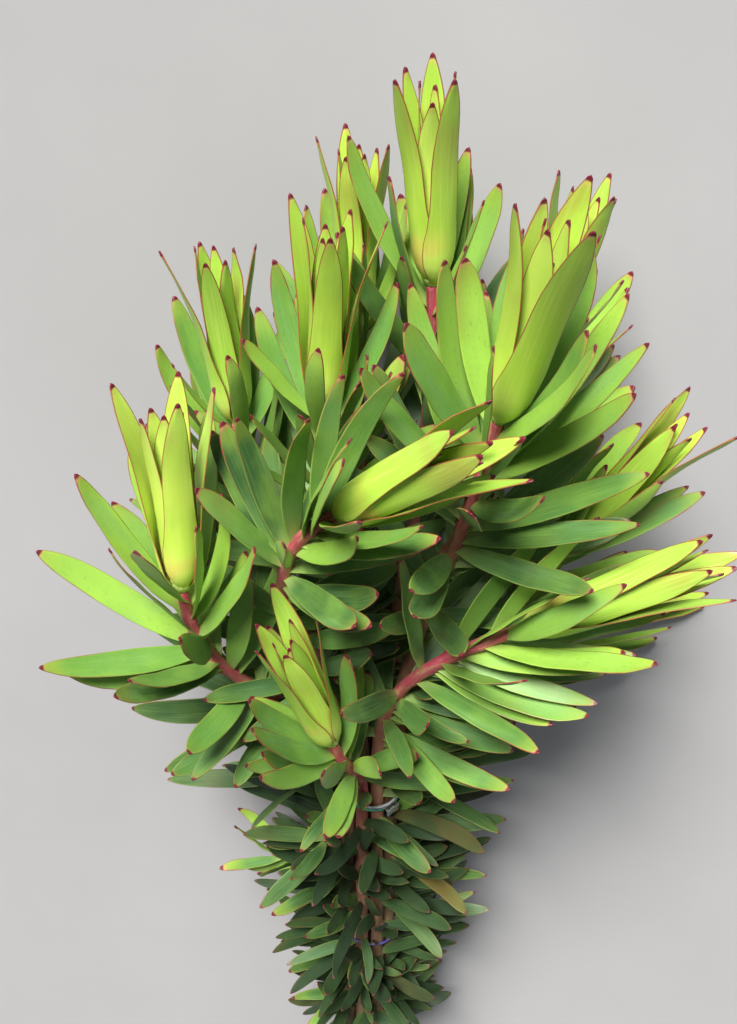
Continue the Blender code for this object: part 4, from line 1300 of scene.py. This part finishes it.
class Finish:
    """One material: its shader, and the nodes that feed the shader's colour, gloss and relief."""

    def __init__(self, name, **fixed):
        self.material = bpy.data.materials.new(name)
        self.material.use_nodes = True
        self.tree = self.material.node_tree
        self.shader = self.tree.nodes["Principled BSDF"]
        for key, value in fixed.items():
            self.shader.inputs[key.replace("_", " ")].default_value = value

    def node(self, kind, settings=None, sockets=None, out=0):
        """Adds a node: its settings first, then the values or links of its sockets."""
        made = self.tree.nodes.new("ShaderNode" + kind)
        for key, value in (settings or {}).items():
            if key == "stops":
                self.set_stops(made.color_ramp, value)
            else:
                setattr(made, key, value)
        for key, value in (sockets or {}).items():
            self.feed(made.inputs[key], value)
        return Value(self, made.outputs[out])

    def feed(self, socket, value):
        if isinstance(value, Value):
            self.tree.links.new(value.socket, socket)
        else:
            socket.default_value = value

    def set_stops(self, ramp, stops):
        while len(ramp.elements) < len(stops):
            ramp.elements.new(0.5)
        for element, (place, colour) in zip(ramp.elements, stops):
            element.position = place
            element.color = (*colour, 1)

    def numbers(self, *names):
        """The finish numbers that each point carries, by name."""
        return [self.node("Attribute", {"attribute_name": name}, out=2) for name in names]

    def grain(self, stretch):
        """Each point's place on its own blade or stem, scaled for a pattern."""
        place = self.node("Attribute", {"attribute_name": "grain"}, out=1)
        return self.node("VectorMath", {"operation": "MULTIPLY"}, {0: place, 1: stretch})

    def noise(self, stretch, detail=2.0, rough=0.5):
        sockets = {"Vector": self.grain(stretch), "Scale": 1.0, "Detail": detail, "Roughness": rough}
        return self.node("TexNoise", None, sockets)

    def ramp(self, value, *stops):
        return self.node("ValToRGB", {"stops": stops}, {0: value})

    def fade(self, value, start, end):
        """From 0 at start to 1 at end, with a level start and end."""
        sockets = {"Value": value, "From Min": start, "From Max": end}
        return self.node("MapRange", {"interpolation_type": "SMOOTHSTEP"}, sockets)

    def layered(self, colour, *layers):
        """A colour with others laid over it in turn, each where its mask is 1."""
        for mask, over in layers:
            below, over = (c if isinstance(c, Value) else (*c, 1) for c in (colour, over))
            colour = self.node("Mix", {"data_type": "RGBA"}, {0: mask, 6: below, 7: over}, out=2)
        return colour

    def patchy(self, stretch, start, end, detail=2.0, rough=0.5):
        """A mask of patches: a stretched noise that fades in from start to end."""
        return self.fade(self.noise(stretch, detail, rough), start, end)

    def relief(self, height, strength, distance):
        sockets = {"Height": height, "Strength": strength, "Distance": distance}
        self.feed(self.shader.inputs["Normal"], self.node("Bump", None, sockets))

    def give(self, **inputs):
        for key, value in inputs.items():
            self.feed(self.shader.inputs[key.replace("_", " ")], value)
        return self.material


def leaf_finish():
    """Satin green with fine lengthwise veins, a thin red margin and a hard crimson tip, and painted shade on
    the leaves below the tie.
    """
    f = Finish("leaf_green_satin", Specular_IOR_Level=0.45)
    names = ("youth", "tint", "bald", "along", "from_tip", "from_edge")
    youth, tint, bald, along, from_tip, from_edge = f.numbers(*names)
    age = f.fade(youth + 0.9 * tint - 0.5, 0.0, 1.25)
    fresh = f.fade(youth, -0.1, 0.6)
    # deep: how much painted shade a leaf gets, from youth below 0 (the leaves below the tie and on short
    # shoots)
    deep = f.fade(youth, 0.0, SHADED_YOUTH)
    patches = f.noise((0.09, 0.05, 1.0))
    bloom = f.patchy((0.16, 0.03, 1.7), 0.45, 0.8, detail=1.0)
    veins = f.noise((2.6, 0.045, 1.0), rough=0.6)
    flecks = f.patchy((1.3, 0.5, 1.0), 0.55, 0.72, detail=3.0, rough=0.7)
    blush = f.patchy((0.02, 0.06, 2.3), 0.42, 0.64, detail=1.0)
    bronze = f.patchy((0.05, 0.02, 3.1), 0.6, 0.74, detail=1.0) * f.fade(along, 0.2, 0.9)
    margin = f.fade(from_edge, 0.36, 0.18)
    reddened = margin * f.fade(along, 0.35, 0.9) * (0.1 + fresh * 0.35 + blush * 0.5)
    halo = f.fade(from_tip, 4.2, 1.8) * (0.04 + fresh * (0.12 + blush * 0.45))
    nib = from_tip + 0.8 * f.noise((0.7, 0.7, 1.0)) + 0.6 * (1 - fresh)
    colour = f.layered(
        f.ramp(age, *LEAF_GREENS),
        (f.fade(patches, 0.35, 0.7) * (0.2 + 0.3 * fresh), (0.2, 0.36, 0.05)),
        (bloom * 0.35, (0.14, 0.28, 0.12)),
        (f.fade(veins, 0.42, 0.72) * 0.2, (0.27, 0.44, 0.11)),
        (flecks * 0.3, (0.05, 0.12, 0.02)),
        (f.fade(along, 0.2, 0.0) * 0.5, (0.34, 0.44, 0.12)),
        (f.fade(from_tip, 14.0, 3.0) * (0.05 + 0.3 * fresh), (0.38, 0.46, 0.06)),
        (bronze * 0.4, (0.2, 0.11, 0.035)),
        (margin * 0.4, (0.3, 0.4, 0.06)),
        (reddened, MARGIN_RED),
        (halo, (0.5, 0.2, 0.12)),
        (bald * (0.3 + 0.6 * f.fade(patches, 0.3, 0.6)), (0.2, 0.14, 0.035)),
        # painted shade: near-black green over the shaded leaves below the tie, partly also their own older,
        # darker green
        (deep * (0.65 + 0.33 * tint), (0.011, 0.026, 0.009)),
        (f.fade(nib, 2.6, 1.7) * (1 - 0.5 * deep), CRIMSON),
    )
    f.relief(veins * 0.6 + f.noise((1.4, 1.4, 1.0), detail=3.0) * 0.5, 0.35, 0.12 * MM)
    rough = 0.36 + 0.2 * f.noise((0.25, 0.12, 1.3)) + 0.14 * deep
    return f.give(Base_Color=colour, Roughness=rough)


def bract_finish():
    """Glowing yellow-green, paler at the bulb and greener outside, with thin dark red margins."""
    f = Finish("bract_yellow_green_satin", Specular_IOR_Level=0.4)
    names = ("youth", "tint", "along", "from_tip", "from_edge")
    youth, tint, along, from_tip, from_edge = f.numbers(*names)
    glow = f.fade(youth + 0.35 * tint - 0.17, 0.0, 1.0)
    warm = f.patchy((0.05, 0.05, 2.1), 0.5, 0.72, detail=1.0) * f.fade(along, 0.4, 0.12)
    bronze = f.patchy((0.06, 0.03, 3.1), 0.5, 0.7, detail=1.0) * f.fade(along, 0.35, 0.95)
    veins = f.noise((2.2, 0.04, 1.0), rough=0.6)
    colour = f.layered(
        f.ramp(glow, *BRACT_GREENS),
        (f.patchy((0.08, 0.04, 1.0), 0.4, 0.7) * 0.45, (0.29, 0.48, 0.05)),
        (f.fade(along, 0.42, 0.85) * 0.4, (0.28, 0.47, 0.055)),
        (f.fade(along, 0.34, 0.04) * 0.65, (0.68, 0.72, 0.17)),
        (warm * 0.6, (0.72, 0.34, 0.1)),
        (bronze * (0.65 - 0.5 * glow), (0.3, 0.17, 0.04)),
        (f.fade(veins, 0.45, 0.75) * 0.25, (0.68, 0.78, 0.2)),
        (f.fade(from_tip, 5.0, 2.0) * 0.35, (0.55, 0.3, 0.12)),
        (f.fade(from_edge, 0.38, 0.16) * 0.85, MARGIN_RED),
        (f.fade(from_tip + 0.8 * f.noise((0.7, 0.7, 1.0)), 2.8, 1.9), CRIMSON),
    )
    f.relief(veins * 0.6 + f.noise((1.2, 1.2, 1.0), detail=3.0) * 0.4, 0.3, 0.12 * MM)
    return f.give(Base_Color=colour, Roughness=0.34 + 0.2 * f.noise((0.25, 0.12, 1.3)))


def cone_finish():
    f = Finish("cone_scales", Roughness=0.5)
    scales = f.noise((0.9, 0.9, 1.0), detail=3.0)
    colour = f.ramp(scales, (0.3, (0.24, 0.32, 0.06)), (0.7, (0.6, 0.66, 0.22)))
    f.relief(scales, 0.5, 0.3 * MM)
    return f.give(Base_Color=colour)


def bark_finish():
    """Raspberry red under the heads, salmon and then greenish brown further down."""
    f = Finish("bark_red_to_brown", Specular_IOR_Level=0.4)
    from_head, tint, above_tie = f.numbers("along", "tint", "youth")
    place = from_head + 40 * (tint - 0.5) + 60 * (f.noise((0.1, 0.02, 1.0)) - 0.5)
    old = f.fade(above_tie, 0.95, 0.3)
    patches = f.patchy((0.35, 0.09, 1.0), 0.45, 0.7, detail=3.0)
    streaks = f.noise((2.4, 0.12, 1.0), detail=3.0)
    pores = f.patchy((1.9, 1.1, 1.0), 0.66, 0.74, detail=1.0)
    colour = f.layered(
        f.ramp(place / BARK_RUN, *BARK_COLOURS),
        (old * 0.7, (0.085, 0.045, 0.028)),
        (patches * (0.5 - 0.35 * old), (0.42, 0.34, 0.14)),
        (f.fade(streaks, 0.5, 0.8) * (0.4 - 0.2 * old), (0.62, 0.42, 0.3)),
        (pores * 0.6, (0.16, 0.06, 0.04)),
    )
    f.relief(streaks + pores * 0.6, 0.5, 0.2 * MM)
    return f.give(Base_Color=colour, Roughness=0.42 + 0.25 * streaks)


def cut_finish():
    """Green bark edge, pale wood with fine rays, and a light pith."""
    f = Finish("cut_wood", Roughness=0.75)
    radial, = f.numbers("along")
    rays = f.noise((0.4, 3.0, 1.0))
    colour = f.layered(f.ramp(radial, *WOOD_COLOURS), (f.fade(rays, 0.45, 0.7) * 0.4, (0.4, 0.3, 0.15)))
    f.relief(rays, 0.5, 0.2 * MM)
    return f.give(Base_Color=colour)


def cord_finish(name, pale, deep, rough):
    """A stretched, slightly cloudy plastic cord with dust and rub marks along it."""
    f = Finish(name, Specular_IOR_Level=0.55)
    cloudy = f.patchy((0.5, 0.08, 1.0), 0.35, 0.7, detail=3.0)
    rubbed = f.patchy((2.0, 0.3, 1.0), 0.55, 0.75, detail=3.0)
    colour = f.layered(pale, (cloudy, deep), (rubbed * 0.3, (0.8, 0.8, 0.78)))
    f.relief(f.noise((3.0, 0.4, 1.0)), 0.3, 0.08 * MM)
    return f.give(Base_Color=colour, Roughness=rough + 0.2 * rubbed)


def clip_finish():
    """Folded tin: bright, with fine rolling lines, dull scuffs, and painted shade on the inside of the
    sleeve.
    """
    f = Finish("folded_tin", Metallic=1.0)
    lines = f.noise((0.3, 6.0, 1.0))
    scuffs = f.patchy((0.8, 0.8, 1.0), 0.52, 0.72, detail=4.0)
    painted_shade_inside, = f.numbers("bald")
    # painted shade: the inner faces of the sleeve are near-black
    colour = f.layered((0.8, 0.8, 0.82), (painted_shade_inside, (0.03, 0.03, 0.035)), (scuffs * 0.35, (0.42, 0.42, 0.44)))
    f.relief(lines + scuffs * 0.5, 0.25, 0.05 * MM)
    return f.give(Base_Color=colour, Roughness=0.26 + 0.25 * scuffs)


def floor_finish():
    f = Finish("pale_plaster", Roughness=0.85)
    place = f.node("TexCoord", out=3)
    cloud = f.node("TexNoise", None, {"Vector": place, "Scale": 5.0, "Detail": 5.0, "Roughness": 0.55})
    colour = f.ramp(cloud, (0.3, (0.288, 0.284, 0.284)), (0.7, (0.326, 0.321, 0.321)))
    return f.give(Base_Color=colour)


def cord_ring(skin, y, radius, half, slot, wander, seed, segments=96, sides=12):
    """A cord drawn tight round the bundle at y, a little aslant and not quite even."""
    chance = random.Random(seed)
    phases = [chance.uniform(0, math.tau) for _ in range(3)]
    points, grain = [], []
    for i in range(segments):
        turn = math.tau * i / segments
        ripple = wander * sum(math.sin((k + 2) * turn + phases[k]) for k in range(3)) / 3
        for j in range(sides):
            around = math.tau * j / sides
            out = radius + half * math.cos(around) + ripple
            along = half * math.sin(around)
            x, z = out * math.cos(turn), out * math.sin(turn)
            points.append(laid((x, y + along + SIDEWAYS * ripple - TIE_SLANT * x, z)))
            grain.append((around, turn * radius / MM, seed * 9.0))
    skin.add(points, walls(segments, sides, closed=True), slot, grain, tint=0.5)


def tie_piece(finishes, shift):
    """The upper tie: two turns of cord side by side, one clouded white and one teal."""
    skin = Skin()
    half = TIE_THICKNESS / 2 * CORD_TIGHT
    radius = OUTER_RING + STEM_RADIUS + JOINT_GAP + TIE_THICKNESS / 2
    for slot, side in enumerate((1, -1)):
        cord_ring(skin, TIE_PLACE + side * CORD_APART, radius, half, slot, CORD_WANDER, seed=slot + 1)
    return skin.piece("tie_cords", finishes, shift)


def band_piece(finish, shift):
    """The rubber band, a thin single cord."""
    skin = Skin()
    radius = bundle_spread(BAND_PLACE) * OUTER_RING + STEM_RADIUS + JOINT_GAP + BAND_THICKNESS / 2
    cord_ring(skin, BAND_PLACE, radius, BAND_THICKNESS / 2, 0, BAND_WANDER, seed=3)
    return skin.piece("blue_rubber_band", [finish], shift)


def clip_piece(finish, shift):
    """The clip: a strip of tin folded into a flat sleeve, open at both ends and pinched midway."""
    skin = Skin()
    long, wide, deep = CLIP_SIZE
    outer = rounded_section(wide / 2, deep / 2, CLIP_CORNERS[0])
    inner = rounded_section(wide / 2 - TIN_WALL, deep / 2 - TIN_WALL, CLIP_CORNERS[1])
    out, across, along = square_to_bundle(CLIP_TURN)
    points, grain, dark = [], [], []
    for share, is_inner in CLIP_SPOTS:
        pinch = 1 - CLIP_PINCH * math.exp(-((share / PINCH_REACH) ** 2)) if not is_inner else 1.0
        for u, v in inner if is_inner else outer:
            centre = out * (CLIP_FOOT + deep / 2 + v * pinch) + along * (TIE_PLACE + u)
            centre = centre + across * share * long / 2
            centre[1] -= TIE_SLANT * CLIP_FOOT * out[0]
            points.append(laid(centre))
            grain.append((share * 4, u / MM, v / MM))
            # marks the inner faces, which the finish paints near-black as painted shade
            dark.append(float(is_inner))
    sides = len(outer)
    ends = [tuple(range(sides))[::-1], tuple(range(len(points) - sides, len(points)))]
    skin.add(points, walls(len(CLIP_SPOTS), sides) + ends, 0, grain, bald=np.array(dark))
    return skin.piece("tin_clip", [finish], shift)


def rounded_section(half_wide, half_deep, corner, steps=4):
    """An oblong with rounded corners, as (across, deep) pairs."""
    wide, deep, made = half_wide - corner, half_deep - corner, []
    for quarter, (a, b) in enumerate(((1, 1), (-1, 1), (-1, -1), (1, -1))):
        for i in range(steps + 1):
            turn = math.pi / 2 * (quarter + i / steps)
            made.append((a * wide + corner * math.cos(turn), b * deep + corner * math.sin(turn)))
    return made


def tie_shift():
    """How far the solids were moved to bring the middle of their box over the origin."""
    low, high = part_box("tie_band")
    points = np.array(tie_band_mesh()[0])
    return np.array((low + high) / 2) - (points.min(0) + points.max(0)) / 2


def camera_at_photo(shift):
    """The photo's own view of the bunch, which looks down on it now that it lies."""
    ahead = laid_direction((0, -math.sin(PHOTO_ANGLE), -math.cos(PHOTO_ANGLE)))
    up = laid_direction((0, math.cos(PHOTO_ANGLE), -math.sin(PHOTO_ANGLE)))
    turned = Matrix((Vector((1, 0, 0)), Vector(up), -Vector(ahead))).transposed().to_4x4()
    turned.translation = Vector(laid(EYE) + shift)
    data = bpy.data.cameras.new("photo_view")
    data.sensor_width, data.lens = SENSOR, SENSOR / 2 / math.tan(HALF_VIEW)
    camera = placed("photo_view", data)
    camera.matrix_world = turned
    bpy.context.scene.camera = camera


def add_floor():
    turns = [math.tau * i / FLOOR_SIDES for i in range(FLOOR_SIDES)]
    points = [(FLOOR_RADIUS * math.cos(a), FLOOR_RADIUS * math.sin(a), 0) for a in turns]
    data = bpy.data.meshes.new("floor")
    data.from_pydata(points, [], [tuple(range(FLOOR_SIDES))])
    data.materials.append(floor_finish())
    floor = placed("floor", data)


def add_light():
    """Soft daylight, and two wide lamps so far off that they light the whole floor alike."""
    world = bpy.data.worlds.new("soft_daylight")
    world.use_nodes = True
    sky = world.node_tree.nodes["Background"].inputs
    sky["Color"].default_value, sky["Strength"].default_value = SKY, SKY_STRENGTH
    bpy.context.scene.world = world
    for name, place, width, strength, colour in LAMPS:
        data = bpy.data.lights.new(name, "SUN")
        data.angle, data.energy, data.color = width, strength, colour
        lamp = placed(name, data)
        lamp.location = place
        lamp.rotation_euler = (-Vector(place)).to_track_quat("-Z", "Y").to_euler()


def dress():
    stems, crowd = plan_bunch()
    shift = tie_shift()
    more_leaves(stems, crowd, shift)
    leaf, bract, bark, cut = leaf_finish(), bract_finish(), bark_finish(), cut_finish()
    cone = cone_finish()
    dressed = []
    for stem in stems:
        leafy = leafy_piece(stem, [bark, leaf, cut], shift)
        dressed.append((leafy, "leafy_stem_" + stem.name, "leaf_green"))
        head = head_piece(stem, [bract, cone], shift)
        dressed.append((head, "flower_head_" + stem.name, "bract_yellow_green"))
    white = cord_finish("clouded_white_cord", (0.72, 0.72, 0.74), (0.5, 0.51, 0.53), 0.28)
    teal = cord_finish("teal_cord", (0.13, 0.42, 0.33), (0.06, 0.25, 0.2), 0.3)
    violet = cord_finish("violet_blue_rubber", (0.05, 0.045, 0.2), (0.035, 0.03, 0.13), 0.5)
    dressed.append((tie_piece([white, teal], shift), "tie_band", "tie_clear"))
    dressed.append((band_piece(violet, shift), "rubber_band", "rubber_blue"))
    dressed.append((clip_piece(clip_finish(), shift), "tie_clip", "clip_metal"))
    for piece, node, slot in dressed:
        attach(piece, "root")
        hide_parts(node)
    add_floor()
    add_light()
    camera_at_photo(shift)
    bpy.context.scene.view_settings.view_transform = "Standard"


dress()
